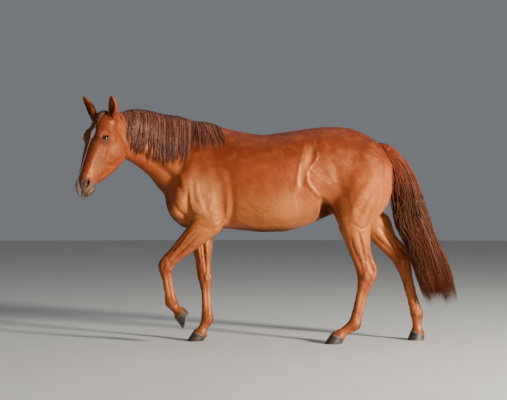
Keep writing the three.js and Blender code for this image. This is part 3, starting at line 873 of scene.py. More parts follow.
EAR_LEAF = [
    # share of the length, half width, half depth, how far the middle lies forward, half the gap in front
    (-0.12, 0.028, 0.027, 0.000, 0.10),
    (0.06, 0.0290, 0.0265, 0.000, 0.14),
    (0.18, 0.0335, 0.0265, 0.000, 0.36),
    (0.34, 0.0380, 0.0260, 0.000, 0.74),
    (0.52, 0.0385, 0.0235, 0.001, 0.98),
    (0.70, 0.0335, 0.0195, 0.003, 1.03),
    (0.84, 0.0255, 0.0150, 0.006, 0.98),
    (0.94, 0.0160, 0.0098, 0.009, 0.84),
    (1.00, 0.0055, 0.0036, 0.011, 0.40),
]


def ear_shell(which, one):
    """A curved leaf of skin and gristle, thick at its root and thin at its edges."""
    rings = []
    for share, width, depth, ahead, gap in spline(EAR_LEAF, 6):
        open_to = math.pi - gap
        angle = np.linspace(-open_to, open_to, 30)
        edge = 1 - 0.10 * eased(np.abs(angle), open_to - 0.7, open_to)
        wall = 0.0028 + 0.0012 * np.cos(angle / 2) ** 2
        deep = eased(share, 0.02, 0.14)
        inner = np.clip(1 - wall / max(width, 0.004) - (1 - deep) * 0.93, 0.04, 0.97)
        deeper, wider = depth * np.cos(angle) * edge, width * np.sin(angle) * edge
        outer = np.stack([deeper - ahead, wider], 1)
        inside = np.stack([deeper * inner - ahead, wider * inner], 1)
        loop = np.vstack([outer, inside[::-1]])
        rings.append(np.hstack([loop, np.full((len(loop), 1), share * EAR_LENGTH)]))
    rings = np.array(rings)
    n, m = rings.shape[:2]
    co = ear_place(one)(rings.reshape(-1, 3))
    faces = np.vstack([tube_faces(n, m), end_faces(n, m, -1)])
    inside = np.tile(np.repeat([0.0, 1.0], m // 2), n)
    return piece_from(f"ear_leaf_{which}", co, faces, values={"inside": inside, "ear": np.ones(len(co))})


def join_ears(body):
    """Joins the two ear leaves to the skin."""
    leaves = [ear_shell(which, one) for which, one in EARS.items()]
    for leaf in leaves:
        face_out(leaf)
    join(leaves, body)


# ---- Eyes ----


def give(piece, key, value):
    """A number for every corner of a piece, which its finish reads."""
    piece.data.attributes.new(key, "FLOAT", "POINT").data.foreach_set("value", np.asarray(value, np.float32))


CLEAR_FRONT = 0.045


def eyeball(which, side):
    """A ball with a slightly raised clear front, turned to look out along the eye's own axis."""
    bpy.ops.mesh.primitive_uv_sphere_add(segments=48, ring_count=32, radius=1)
    ball = bpy.context.object
    ball.name = f"eyeball_{which}"
    co = corners(ball)
    front = eased(co[:, 2], 0.62, 0.98)
    for key, value in zip(("slit", "rise"), co.T):
        give(ball, key, value)
    co = co * (EYE_RADIUS * (1 + CLEAR_FRONT * front))[:, None]
    out, along, up = eye_axes(side)
    up = up * side * np.sign(np.cross(out, along) @ up)
    local = co[:, [0]] * along + co[:, [1]] * up + co[:, [2]] * out
    move_corners(ball, from_head(local + eye_centre(side)))
    face_out(ball)
    bpy.ops.object.shade_smooth()
    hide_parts(f"eye_{which}")
    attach(ball, "root")
    return ball


def on_lid(angle, side, height):
    """Points on the rim of the lids, so high over the eyeball, and how far each is along the slit."""
    c, s = np.cos(angle), np.sin(angle)
    u = np.sign(c) * np.abs(c) ** (2 / ALMOND)
    v = np.where(s > 0, LID_TOP, LID_LOW) * np.sign(s) * np.abs(s) ** (2 / ALMOND) + LID_SLANT * u
    w = np.sqrt((EYE_RADIUS + height) ** 2 - (LID_HALF * u) ** 2 - v**2)
    out, along, up = eye_axes(side)
    return LID_HALF * u[:, None] * along + v[:, None] * up + w[:, None] * out, u[:, None]


def lid_margin(which, side):
    """The dark wet edge of the lids, a thin cord laid on the ball along the almond."""
    turns, around, thick = 56, 8, 0.0013
    path, _ = on_lid(2 * np.pi * np.arange(turns) / turns, side, 0.0018)
    ring = 2 * np.pi * np.arange(around) / around
    away = unit(path)
    aside = np.cross(away, unit(np.roll(path, -1, 0) - np.roll(path, 1, 0)))
    c, s = np.cos(ring)[:, None], np.sin(ring)[:, None]
    co = path[:, None] + thick * (c * aside[:, None] * 1.3 + s * away[:, None])
    co = from_head(co.reshape(-1, 3) + eye_centre(side))
    margin = piece_from(f"lid_margin_{which}", co, tube_faces(turns, around, closed=True))
    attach(margin, "root")
    return margin


# ---- Hooves ----


def hoof(name, leg):
    """A horn wall ringed by its growth, with a hollowed sole and a frog under it."""
    piece = cylinder(64, end_fill_type="NGON")
    piece.name = f"horn_{name}"
    mode("EDIT")
    bpy.ops.mesh.select_all(action="DESELECT")
    bpy.ops.mesh.select_mode(type="EDGE")
    mode("OBJECT")
    mesh = piece.data
    for edge in mesh.edges:
        a, b = (mesh.vertices[i].co for i in edge.vertices)
        edge.select = abs(a.z - b.z) > 0.5
    mode("EDIT")
    bpy.ops.mesh.subdivide(number_cuts=20)
    bpy.ops.mesh.select_mode(type="FACE")
    bpy.ops.mesh.select_all(action="DESELECT")
    for height, times, thickness in ((-0.5, 9, 0.095), (0.5, 4, 0.16)):
        mode("OBJECT")
        for face in mesh.polygons:
            face.select = len(face.vertices) > 4 and abs(face.center.z - height) < 0.01
        mode("EDIT")
        for _ in range(times):
            bpy.ops.mesh.inset(thickness=thickness)
    mode("OBJECT")
    co = corners(piece)
    rise = co[:, 2] + 0.5
    give(piece, "rise", rise)
    radius = np.minimum(np.hypot(co[:, 0], co[:, 1]), 1.0)
    angle = np.arctan2(co[:, 1], co[:, 0])
    c, s = np.cos(angle), np.sin(angle)
    bulge = 1 + 0.004 * hump(rise, 0.90, 0.06) - 0.012 * eased(rise, 0.03, 0.0)
    bulge = bulge - 0.05 * eased(rise, 0.93, 1.0)
    rings = 0.0030 * np.sin(rise * 44 + 1.3 * np.sin(angle))
    bulge = bulge + rings * eased(rise, 0.05, 0.15) * eased(rise, 0.97, 0.85)
    cleft = 1 - 0.11 * hump(angle, 0, 0.22) * eased(rise, 0.0, 0.9) - 0.05 * hump(angle, 0, 0.20)
    length = mix(HOOF_LENGTH, CORONET_LENGTH, rise) / 2 * bulge * cleft
    width = mix(HOOF_WIDTH, CORONET_WIDTH, rise) / 2 * bulge
    x = leg["lean"] * rise + length * c * radius
    y = width * s * (1 - 0.12 * c) * radius
    z = rise * (CORONET_HEIGHT - CORONET_RISE * c * radius)
    under = rise < 0.001
    sole = 0.006 * eased(radius, 0.90, 0.55)
    bar = np.abs(y) - (0.004 + 0.26 * np.maximum(x + 0.012, 0))
    frog = eased(bar, 0.004, -0.004) * eased(x, -0.022, -0.004) * (radius < 0.93)
    groove = 0.005 * np.exp(-((bar - 0.004) / 0.003) ** 2) * eased(x, -0.02, 0.0) * (radius < 0.90)
    middle = 0.004 * hump(y, 0, 0.003) * eased(x, 0.012, 0.03)
    z = np.where(under, sole * (1 - 0.8 * frog) + groove * (1 - frog) + middle * frog, z)
    top = (rise > 0.999) & (radius < 0.99)
    z = np.where(top, z + 0.004 * (1 - radius), z)
    move_corners(piece, hoof_place(leg)(np.stack([x, y, z], 1)))
    pick(piece)
    bpy.ops.object.shade_smooth_by_angle(angle=math.radians(50))
    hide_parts(f"{name}_hoof")
    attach(piece, "root")
    return piece


def build_skin():
    """The skin without its ears: one surface, refined, with its forms, eyelids and nostrils."""
    body = rough_body()
    refine(body)
    relief = Relief(body)
    shape_flesh(relief)
    relief.press()
    shape_eyes(body)
    shape_nostrils(body)
    return body


# ---- Long hair: locks that taper to a point ----


def locks(name, paths, half, flat, away, roots, shade):
    """Closed three-sided locks: paths and away are locks by points by 3, half is their half width."""
    n, k = paths.shape[:2]
    forward = unit(np.gradient(paths, axis=1))
    away = unit(away - forward * np.sum(away * forward, axis=2, keepdims=True))
    across = np.cross(forward, away)
    turn = np.radians([90, 210, 330])[:, None]
    round_it = np.cos(turn) * across[:, :-1, None] + flat * np.sin(turn) * away[:, :-1, None]
    rings = paths[:, :-1, None] + half[:, :-1, None, None] * round_it
    co = np.concatenate([rings.reshape(n, -1, 3), paths[:, -1:]], axis=1)
    size = co.shape[1]
    level, j = np.meshgrid(np.arange(k - 2), np.arange(3), indexing="ij")
    a, b = level * 3 + j, level * 3 + (j + 1) % 3
    c, d = b + 3, a + 3
    sides = [np.stack(corner, 2).reshape(-1, 3) for corner in ((a, d, c), (a, c, b))]
    last = (k - 2) * 3
    tip = [[last + i, size - 1, last + (i + 1) % 3] for i in range(3)]
    faces = (np.arange(n) * size)[:, None, None] + np.vstack([*sides, tip, [[0, 1, 2]]])
    along = np.append(np.repeat(np.arange(k - 1), 3), k - 1) / (k - 1)
    place = np.append(np.tile([-0.5, 0.0, 0.5], k - 1), 0.0)
    uv = roots[:, None] + 0.003 * np.stack([place, along - 0.5], 1)[None]
    values = {"shade": np.repeat(shade, size), "along": np.tile(along, n)}
    return piece_from(name, co.reshape(-1, 3), faces.reshape(-1, 3), uv.reshape(-1, 2), values)


def taper(points, root, tip):
    """Half widths along a lock: narrow at the root, full soon after, and thin towards the tip."""
    t = np.linspace(0, 1, points)
    return (root + (1 - root) * eased(t, 0, 0.15)) * (1 - (1 - tip) * eased(t, 0.35, 1.0))


def at_rows(rows, x):
    """The second number of rows of two, where the first is x."""
    return np.interp(x, *zip(*rows))


# By the place along the crest, from the poll to the withers: the length of the longest hair rooted there,
# how thick the mane grows, how far its ends sweep back, and how high it lies over the crest.
MANE_LENGTH = [
    (-0.70, 0.07), (-0.66, 0.13), (-0.64, 0.24), (-0.60, 0.33), (-0.54, 0.37), (-0.46, 0.40), (-0.38, 0.42),
    (-0.28, 0.43), (-0.22, 0.41), (-0.175, 0.35), (-0.13, 0.31), (-0.06, 0.29), (0.02, 0.28), (0.06, 0.20),
]
MANE_THICKNESS = [(-0.70, 0.25), (-0.61, 1.0), (-0.02, 1.0), (0.06, 0.4)]
MANE_SWEEP = [
    (-0.64, -0.040), (-0.54, -0.062), (-0.44, -0.030), (-0.26, -0.006), (-0.16, -0.012), (-0.08, 0.040),
    (0.02, 0.082), (0.06, 0.088),
]
MANE_HEIGHT = [
    (-0.69, 0.000), (-0.60, 0.012), (-0.52, 0.016), (-0.36, 0.020), (-0.24, 0.027), (-0.12, 0.018),
    (-0.03, 0.002), (0.05, -0.004),
]


def run_of(line):
    """How far along a line of points each of them is."""
    return np.append(0, np.cumsum(np.linalg.norm(np.diff(line, axis=0), axis=1)))


class Crest:
    """The neck's near side laid out as a chart: place along the crest by way down from it."""

    def __init__(self, tree):
        self.x = np.linspace(-0.775, 0.125, 73)
        self.step = 0.012
        self.first = -6 * self.step
        depth = 0.17
        turns = np.radians(np.linspace(-24, 168, 106))
        rows = []
        for x in self.x:
            top = self.strike(tree, np.array([x, 0.0, 2.2]), np.array([0, 0, -1.0]))
            centre = np.array([x, 0.0, (top[2] if top is not None else 1.6) - depth])
            line = []
            for turn in turns:
                way = np.array([0.0, -math.sin(turn), math.cos(turn)])
                hit = self.strike(tree, centre + (0.22 if x < -0.5 else 0.5) * way, -way)
                line.append(hit if hit is not None else centre + depth * way)
            line = np.array(line)
            length = run_of(line)
            wanted = np.interp(0.0, turns, length) + np.arange(-6, 46) * self.step
            rows.append(np.stack([np.interp(wanted, length, column) for column in line.T], 1))
        self.table = np.array(rows)
        for _ in range(4):
            self.table[1:-1] = (self.table[:-2] + 2 * self.table[1:-1] + self.table[2:]) / 4

    def strike(self, tree, start, way):
        """Where a line over the straight neck meets the skin, or nothing."""
        a, b = bend(np.array([start, start + way]))
        hit = tree.ray_cast(Vector(a), Vector(b - a).normalized(), 3.0)[0]
        return None if hit is None else unbend(np.array([hit]))[0]

    def at(self, x, down):
        """Points of the chart, as they lie on the neck laid out straight."""
        i = np.clip((x - self.x[0]) / (self.x[1] - self.x[0]), 0, len(self.x) - 1.001)
        j = np.clip((down - self.first) / self.step, 0, self.table.shape[1] - 1.001)
        i0, j0 = i.astype(int), j.astype(int)
        fi, fj = (i - i0)[..., None], (j - j0)[..., None]
        here, lower = (mix(self.table[i0, j], self.table[i0 + 1, j], fi) for j in (j0, j0 + 1))
        return mix(here, lower, fj)

    def out(self, x, down):
        """The way out of the neck at points of the chart."""
        e = self.step
        lower = self.at(x, down + e) - self.at(x, down - e)
        return unit(np.cross(lower, self.at(x + e, down) - self.at(x - e, down)))


def mane(crest, hide):
    """Thin locks from the crest over to the near side, drawn into strands and those into pointed bunches."""
    count, points = 2900, 11
    spans = (0, 1), (-0.690, -0.150), (-0.150, 0.060)
    share, neck, withers = (chance.uniform(*span, count) for span in spans)
    x0 = np.where(share < 0.88, neck, withers)
    thin = at_rows(MANE_THICKNESS, x0)
    start = chance.uniform(-0.022, 0.018, count) * thin
    strands = np.sort(chance.uniform(-0.70, 0.10, 150))
    bunches = np.sort(chance.uniform(-0.70, 0.10, 74))
    n, m = len(strands), len(bunches)
    mine = np.abs((x0 + chance.normal(0, 0.007, count))[:, None] - strands[None]).argmin(1)
    bunch = np.abs((strands + chance.normal(0, 0.006, n))[:, None] - bunches[None]).argmin(1)[mine]
    off = np.abs(strands[mine] - bunches[bunch]) / 0.010
    longer = np.clip(1.03 - np.abs(chance.normal(0, 0.12, m)), 0.66, 1.03)[bunch]
    longer = longer * (1 - 0.05 * np.clip(off, 0, 2.0))
    wave, lean = chance.uniform(0, 2 * np.pi, m)[bunch], chance.normal(0.0, 0.010, m)[bunch]
    sweep = lean + at_rows(MANE_SWEEP, x0)
    uneven = np.clip(1.04 - np.abs(chance.normal(0, 0.15, count)), 0.45, 1.04)
    end = at_rows(MANE_LENGTH, x0) * longer * uneven
    t = np.linspace(0, 1, points)[None] ** 1.35
    to_strand = (strands[mine] - x0 + chance.normal(0, 0.003, count))[:, None] * 0.75
    free = chance.uniform(0, 1, count) < 0.34
    to_bunch = ((bunches[bunch] - strands[mine]) * np.where(free, -0.3, 0.72))[:, None]
    x = x0[:, None] + to_strand * eased(t, 0.05, 0.9) + to_bunch * eased(t, 0.60, 1.02)
    x = x + (sweep[:, None] * t**1.15 + 0.005 * np.sin(wave[:, None] + 6 * t) * t)
    down = start[:, None] + (end - start)[:, None] * t
    layer = chance.uniform(0, 1, count)[:, None]
    lift = (0.008 + 0.011 * layer) * thin[:, None] + at_rows(MANE_HEIGHT, x0)[:, None]
    lift = -0.002 + lift * (eased(t, 0.0, 0.06) - 0.74 * eased(t, 0.10, 0.80))
    lift = lift + 0.003 * eased(t, 0.1, 0.4) * np.sin(7 * t + wave[:, None])
    loose = chance.uniform(0, 1, count)[:, None] < 0.03
    lift = lift + loose * 0.010 * eased(t, 0.3, 1.0)
    spot, out = crest.at(x, down), crest.out(x, down)
    paths = bend(spot + out * lift[..., None])
    away = unit(bend(spot + out * 0.01) - bend(spot))
    half = taper(points, 0.45, 0.20)[None] * chance.uniform(0.0013, 0.0027, count)[:, None]
    shade = np.clip(0.46 + 0.09 * np.sin(wave * 5) + chance.normal(0, 0.17, count), 0, 1)
    return locks("mane_hair", paths, half, 0.55, away, hide.place(paths[:, 0]), shade)


def on_skin(tree, points, lift):
    """Points moved to a height above the skin under them, and the way out of it there."""
    found = [tree.find_nearest(Vector(point))[:2] for point in points.reshape(-1, 3)]
    spots, out = np.array(found, float).transpose(1, 0, 2).reshape(2, *points.shape)
    return spots + out * lift[..., None], out


def forelock(tree, hide):
    """Thin locks from the poll down over the brow, in four clumps."""
    count, points = 520, 8
    t = np.linspace(0, 1, points)[None]
    y0 = chance.normal(0, 0.013, count)
    back = chance.uniform(0.045, 0.100, count)
    clumps = np.array([-0.020, -0.006, 0.008, 0.022])
    mine = np.abs((y0 + chance.normal(0, 0.006, count))[:, None] - clumps).argmin(1)
    reach = np.clip(chance.normal(0.100, 0.024, count), 0.05, 0.150) * np.array([0.8, 1.05, 1.1, 0.85])[mine]
    z = 0.016 - (0.016 + reach[:, None]) * t**1.35
    x = back[:, None] * (1 - t) ** 1.1 - 0.01
    y = y0[:, None] + (clumps[mine] * 1.5 - y0)[:, None] * 0.7 * t
    y = y + chance.normal(0, 0.004, count)[:, None] * t
    guide = from_head(np.stack([x, y, z], 2))
    layer = chance.uniform(0.3, 1, count)[:, None]
    lift = -0.002 + 0.018 * layer * eased(t, 0, 0.3) - 0.011 * layer * eased(t, 0.45, 1)
    paths, away = on_skin(tree, guide, lift)
    half = taper(points, 0.5, 0.25)[None] * chance.uniform(0.0013, 0.0024, count)[:, None]
    shade = np.clip(0.55 + chance.normal(0, 0.2, count), 0, 1)
    return locks("forelock_hair", paths, half, 0.6, away, hide.place(paths[:, 0]), shade)


TAIL = [
    # back, height, aside, then how far it reaches forward, back and to each side
    (1.215, 1.412, 0.000, 0.036, 0.045, 0.042),
    (1.290, 1.385, 0.000, 0.054, 0.060, 0.050),
    (1.370, 1.280, 0.000, 0.082, 0.074, 0.058),
    (1.430, 1.150, 0.000, 0.122, 0.082, 0.062),
    (1.490, 0.920, 0.004, 0.152, 0.098, 0.066),
    (1.560, 0.720, 0.008, 0.126, 0.096, 0.070),
    (1.630, 0.500, 0.010, 0.122, 0.118, 0.066),
    (1.690, 0.305, 0.012, 0.122, 0.108, 0.052),
    (1.712, 0.235, 0.012, 0.118, 0.106, 0.046),
]


def tail_path():
    """How far along the tail each of its smoothed rows lies, and the rows."""
    rows = spline(TAIL, 12)
    return run_of(rows[:, [0, 2, 1]]), rows


def in_tail(share, turn, out):
    """Points inside the tail: share of its length, angle round it and share of the way out."""
    length, rows = tail_path()
    at = share * length[-1]
    x, z, y, ahead, behind, side = (np.interp(at, length, rows[:, i]) for i in range(6))
    e = 0.01
    dx, dz = (np.interp(at + e, length, rows[:, i]) - np.interp(at - e, length, rows[:, i]) for i in (0, 1))
    size = np.maximum(np.hypot(dx, dz), 1e-6)
    bx, bz = -dz / size, dx / size
    c, s = np.cos(turn) * out, np.sin(turn) * out
    reach = np.where(c > 0, behind, ahead) * c
    return np.stack([x + bx * reach, y + side * s, z + bz * reach], -1) + BODY


def tail_half(name):
    """Half of the tail's locks, rooted along the dock and drawn into clumps of different lengths."""
    count, points, clumps = 2100, 11, 60
    t = np.linspace(0, 1, points)[None]
    clump_turn = chance.uniform(0, 2 * np.pi, clumps)
    clump_out = chance.uniform(0.25, 0.95, clumps) ** 0.7
    clump_end = chance.uniform(0.86, 0.965, clumps)
    clump_end = clump_end * np.where(chance.uniform(0, 1, clumps) < 0.18, 0.84, 1.0)
    clump_end = clump_end + 0.024 * np.cos(clump_turn) * clump_out
    waves = chance.uniform(0, 2 * np.pi, clumps)
    mine = chance.integers(0, clumps, count)
    wave = waves[mine][:, None]
    root = chance.uniform(0.0, 1.0, count) ** 1.5 * 0.32 - 0.012
    turn0 = clump_turn[mine] + chance.normal(0, 0.8, count)
    end = np.clip(clump_end[mine] + chance.normal(0, 0.025, count), root + 0.22, 0.998)
    share = root[:, None] + (end - root)[:, None] * t
    layer = np.clip(clump_out[mine] + chance.normal(0, 0.10, count), 0.08, 0.97)
    dock = at_dock(root)
    out = dock[:, None] + (layer - dock)[:, None] * eased(t, 0.0, 0.38)
    out = out * (1 + 0.10 * eased(share, 0.45, 0.9)) * (1 - 0.08 * eased(t, 0.8, 1.0) * (1 - layer[:, None]))
    turn = turn0[:, None] + (clump_turn[mine] - turn0)[:, None] * 0.75 * eased(t, 0.15, 0.85)
    sway = 0.16 * np.sin(wave + 5.5 * t) + 0.09 * np.sin(wave * 3 + 12 * t)
    turn = turn + (sway + chance.normal(0, 0.05, count)[:, None]) * t
    out = np.clip(out + 0.10 * np.sin(wave * 1.7 + 11 * t) * eased(t, 0.05, 0.3) * (1 - 0.5 * t), 0.03, 1.10)
    paths = in_tail(share, turn, out)
    away = unit(paths - in_tail(share, turn, out * 0.5) + 1e-6)
    half = taper(points, 0.6, 0.30)[None] * chance.uniform(0.0013, 0.0029, count)[:, None]
    shade = np.clip(0.45 + 0.25 * np.sin(waves[mine] * 3) + chance.normal(0, 0.15, count), 0, 1)
    return locks(name, paths, half, 0.6, away, dock_chart(root, turn0), shade)


def dock_chart(share, turn):
    """The dock's own unwrap: along it one way and round it the other."""
    return np.stack([0.05 + 0.9 * np.clip(share, 0, 1), 0.05 + turn % (2 * np.pi) / 7], -1)


def at_dock(share):
    """How much of the tail's width its bone and skin take, from root to the dock's end."""
    return 0.86 - 0.50 * eased(share, 0.0, 0.30)


def tail_core():
    """The dock and the hair packed round it, which stay dark between the locks."""
    share, turn = np.meshgrid(np.linspace(0.0, 0.90, 48), 2 * np.pi * np.arange(28) / 28, indexing="ij")
    out = mix(0.84, 0.60, eased(share, 0.0, 0.35)) * (1 - 0.6 * eased(share, 0.62, 0.9))
    out = out + 0.05 * np.sin(turn * 9 + share * 6) * eased(share, 0.1, 0.3)
    co = in_tail(share, turn, out).reshape(-1, 3)
    faces = np.vstack([tube_faces(*share.shape), end_faces(*share.shape)])
    core = piece_from("tail_core", co, faces, dock_chart(share, turn).reshape(-1, 2))
    core.data.attributes.new("shade", "FLOAT", "POINT")
    face_out(core)
    return core


# ---- The short coat: flat blades laid along the body ----


class Hide:
    """The skin as triangles to plant hair on, with its unwrap, its normals and where its ears are."""

    def __init__(self, skin):
        mesh = skin.data
        mesh.uv_layers.new(name="OFBake")
        on_all(skin, bpy.ops.uv.smart_project, angle_limit=math.radians(75), island_margin=0.001)
        mesh.calc_loop_triangles()
        self.corner = read(mesh.loop_triangles, "vertices", 3, np.int32)
        self.co, self.out = corners(skin), normals(skin)
        loops = read(mesh.loop_triangles, "loops", 3, np.int32)
        self.uv = read(mesh.uv_layers["OFBake"].data, "uv", 2)[loops]
        a, b, c = self.co[self.corner].transpose(1, 0, 2)
        self.face_out = np.cross(b - a, c - a)
        self.area = np.linalg.norm(self.face_out, axis=1) / 2
        self.middle = self.co[self.corner].mean(1)
        self.ear, self.inside = (
            read(mesh.attributes[key].data, "value")[self.corner].mean(1) for key in ("ear", "inside")
        )

    def place(self, points):
        """Where the skin nearest each point lies on its unwrap."""
        near = BVHTree.FromPolygons(self.co.tolist(), self.corner.tolist())
        found = [near.find_nearest(Vector(point))[2] for point in points]
        return self.uv[found].mean(1)

    def plant(self, weight, count):
        """Places picked at random over the skin, more where weight is more."""
        share = self.area * weight
        which = chance.choice(len(share), count, p=share / share.sum())
        a, b = chance.uniform(0, 1, (2, count))
        over = a + b > 1
        a, b = np.where(over, 1 - a, a), np.where(over, 1 - b, b)
        part = np.stack([1 - a - b, a, b], 1)[:, :, None]
        root = (self.co[self.corner[which]] * part).sum(1)
        out = unit((self.out[self.corner[which]] * part).sum(1))
        return root, out, (self.uv[which] * part).sum(1), which


def coat_lie(co, out, on_ear):
    """The way short hair lies: back and down on the body, down the legs, down the face, up the ears."""
    body, head, neck = co - BODY, to_head(co), unbend(co)
    trunk = unit(bend(neck + np.array([0.0086, 0.0, -0.0050])) - co)
    way = mix(trunk, np.array([0.06, 0.0, -1.0]), eased(body[:, 2], 0.95, 0.70)[:, None])
    on_head = on_the_head(body, head)[:, None]
    side_face = eased(head[:, 0], 0.06, 0.20)[:, None]
    face = unit(mix(np.array([0.25, 0.0, -1.0]), np.array([0.75, 0.0, -0.75]), side_face))
    way = mix(way, face @ HEAD_TURN.T, on_head)
    for one in EARS.values():
        up = np.diff(ear_place(one)(np.array([[0, 0, 0.0], [0, 0, 1.0]])), axis=0)[0]
        mine = (on_ear > 0.5) & (np.sign(head[:, 1]) == one["side"])
        way = np.where(mine[:, None], up, way)
    way = way + chance.normal(0, 0.09, way.shape)
    return unit(way - out * (way * out).sum(1)[:, None])


def blades(name, root, out, way, uv, length, half, lift, shade):
    """Four-faced leaves of hair: rooted in the skin, widest a third of the way, pointed just off it."""
    n = len(root)
    across = np.cross(out, way)
    middle = root + way * (length * 0.36)[:, None] + out * (lift * 0.9)[:, None]
    a, b = middle + across * half[:, None], middle - across * half[:, None]
    tip = root + way * length[:, None] + out * lift[:, None]
    co = np.stack([a, b, root - out * 0.0006, tip], 1).reshape(-1, 3)
    one = np.array([[0, 1, 3], [1, 0, 2], [0, 3, 2], [3, 1, 2]])
    faces = ((np.arange(n) * 4)[:, None, None] + one[None]).reshape(-1, 3)
    spread = 0.003 * np.array([[-0.5, 0.0], [0.5, 0.0], [0.0, -0.5], [0.0, 0.5]])
    place = (uv[:, None] + spread[None]).reshape(-1, 2)
    piece = piece_from(name, co, faces, place, {"shade": np.repeat(shade, 4)})
    lean = np.stack([across * 0.14, -across * 0.14, -way * 0.05, way * 0.12], 1)
    lay = unit(out[:, None] + lean).reshape(-1, 3)
    piece.data.normals_split_custom_set_from_vertices(lay.astype(np.float32))
    return piece


COAT_LENGTH, COAT_HALF = 0.0150, 0.0009
# How much shorter the hair is over the head, further on the face, and on the legs; and the most it shortens.
SHORT_HEAD, SHORT_FACE, SHORT_LEGS, SHORTEST = 0.45, 0.2, 0.35, 0.62


def short_coat(hide):
    """The coat over the whole body, finer and shorter on the face and feet."""
    middle = hide.middle
    body, head = middle - BODY, to_head(middle)
    on_head = on_the_head(body, head)
    low = eased(body[:, 2], 0.80, 0.55)
    keep = np.ones(len(middle))
    for side in SIDES.values():
        keep *= eased(np.linalg.norm(head - eye_centre(side), axis=1), 0.026, 0.034)
        keep *= eased(np.linalg.norm(head - nostril_middle(side), axis=1), 0.034, 0.044)
    keep *= 1 - 0.9 * eased(head[:, 2], -0.56, -0.60) * (on_head > 0.5)
    trunk = (1 - on_head) * (1 - low)
    back = body[:, 0]
    zones = {
        "coat_front": (trunk * (back < 0.20), 40000),
        "coat_middle": (trunk * (back >= 0.20) * (back < 0.80), 35000),
        "coat_rear": (trunk * (back >= 0.80), 40000),
        "coat_head": (on_head, 35000),
        "coat_legs": (low * (1 - on_head), 36000),
    }
    made = []
    for name, (zone, count) in zones.items():
        root, out, uv, which = hide.plant(zone * keep + 1e-12, count)
        way = coat_lie(root, out, hide.ear[which])
        on_face = eased(head[which][:, 2], -0.30, -0.55)
        short = on_head[which] * (SHORT_HEAD + SHORT_FACE * on_face) + low[which] * SHORT_LEGS
        short = np.clip(short, 0, SHORTEST)
        length = (COAT_LENGTH * (1 - short)) * chance.uniform(0.75, 1.2, count)
        half = (COAT_HALF * (1 - 0.5 * short)) * chance.uniform(0.8, 1.2, count)
        lift = (0.0002 + 0.0003 * chance.uniform(0, 1, count)) * (1 - 0.5 * short)
        shade = np.clip(chance.normal(0.5, 0.25, count), 0, 1)
        made.append(blades(name, root, out, way, uv, length, half, lift, shade))
    return made


def tufts(name, root, out, way, uv, length, half, curl, shade):
    """Longer hairs, each a thin lock that leaves the skin and curves over to the way it hangs."""
    narrowing = np.array([1.0, 0.9, 0.6, 0.2])
    t = np.linspace(0, 1, len(narrowing))[None, :, None]
    rise = curl[:, None, None]
    line = way[:, None] * (t - 0.25 * rise * t) + out[:, None] * (rise * (t - 0.45 * t**2))
    paths = root[:, None] + line * length[:, None, None]
    paths[:, 0] -= out * 0.0008
    away = np.repeat(out[:, None], len(narrowing), 1)
    return locks(name, paths, narrowing * half[:, None], 0.6, away, uv, shade)


def longer_hairs(hide):
    """Hair that breaks the form: fetlocks, coronets, jaw, chin, belly, elbows and between the thighs."""
    middle = hide.middle
    body, head = middle - BODY, to_head(middle)
    out = unit(hide.face_out)
    on_head = on_the_head(body, head)
    groups = []
    for leg in LEGS.values():
        coronet, fetlock, knee = (np.array(j) for j in leg["joints"][:3])
        axis = unit(fetlock - knee)
        near = egg(body, fetlock, 0.034) * np.clip(out[:, 0] * 1.2, 0, 1) ** 2
        groups.append((near, 260, 0.020, 0.0006, 0.30, axis + [0.15, 0, 0]))
        top = (body - coronet) @ unit(fetlock - coronet)
        ring = hump(top, 0.004, 0.007) * (np.linalg.norm(body - coronet, axis=1) < 0.085)
        groups.append((ring, 480, 0.013, 0.0006, 0.22, coronet - fetlock))
    jaw = on_head * eased(-out @ HEAD_TURN[:, 2], 0.35, 0.8) * (head[:, 0] > 0.08)
    groups.append((jaw, 650, 0.013, 0.0005, 0.35, HEAD_TURN @ np.array([0.3, 0, -1.0])))
    chin = on_head * eased(head[:, 2], -0.55, -0.59)
    groups.append((chin, 200, 0.012, 0.00035, 0.9, HEAD_TURN @ np.array([0.1, 0, -1.0])))
    belly = eased(-out[:, 2], 0.6, 0.9) * (body[:, 0] > 0.0) * (body[:, 0] < 0.95) * (body[:, 2] > 0.6)
    groups.append((belly, 900, 0.018, 0.0007, 0.30, np.array([0.9, 0, -0.5])))
    elbow = egg(np.abs(body), [0.10, 0.20, 0.88], [0.06, 0.08, 0.05]) * eased(out[:, 0], 0.0, 0.6)
    groups.append((elbow, 260, 0.020, 0.0007, 0.35, np.array([0.5, 0, -0.8])))
    seam = egg(body[:, :2], [1.32, 0.0], [0.14, 0.09]) * eased(out[:, 0], 0.1, 0.6) * (body[:, 2] > 0.75)
    groups.append((seam, 500, 0.018, 0.0007, 0.30, np.array([0.2, 0, -1.0])))
    parts = []
    for weight, count, length, half, curl, way in groups:
        root, up, uv, _ = hide.plant(weight, count)
        way = unit(np.asarray(way, float))[None] + chance.normal(0, 0.16, (count, 3))
        way = unit(way - up * (way * up).sum(1)[:, None])
        spreads = ((length, 0.6, 1.15), (half, 0.8, 1.2), (curl, 0.5, 1.3))
        sizes = [size * chance.uniform(low, high, count) for size, low, high in spreads]
        parts.append((root, up, way, uv, *sizes))
    parts = [np.concatenate(part) for part in zip(*parts)]
    return tufts("coat_fringes", *parts, np.clip(chance.normal(0.4, 0.2, len(parts[0])), 0, 1))


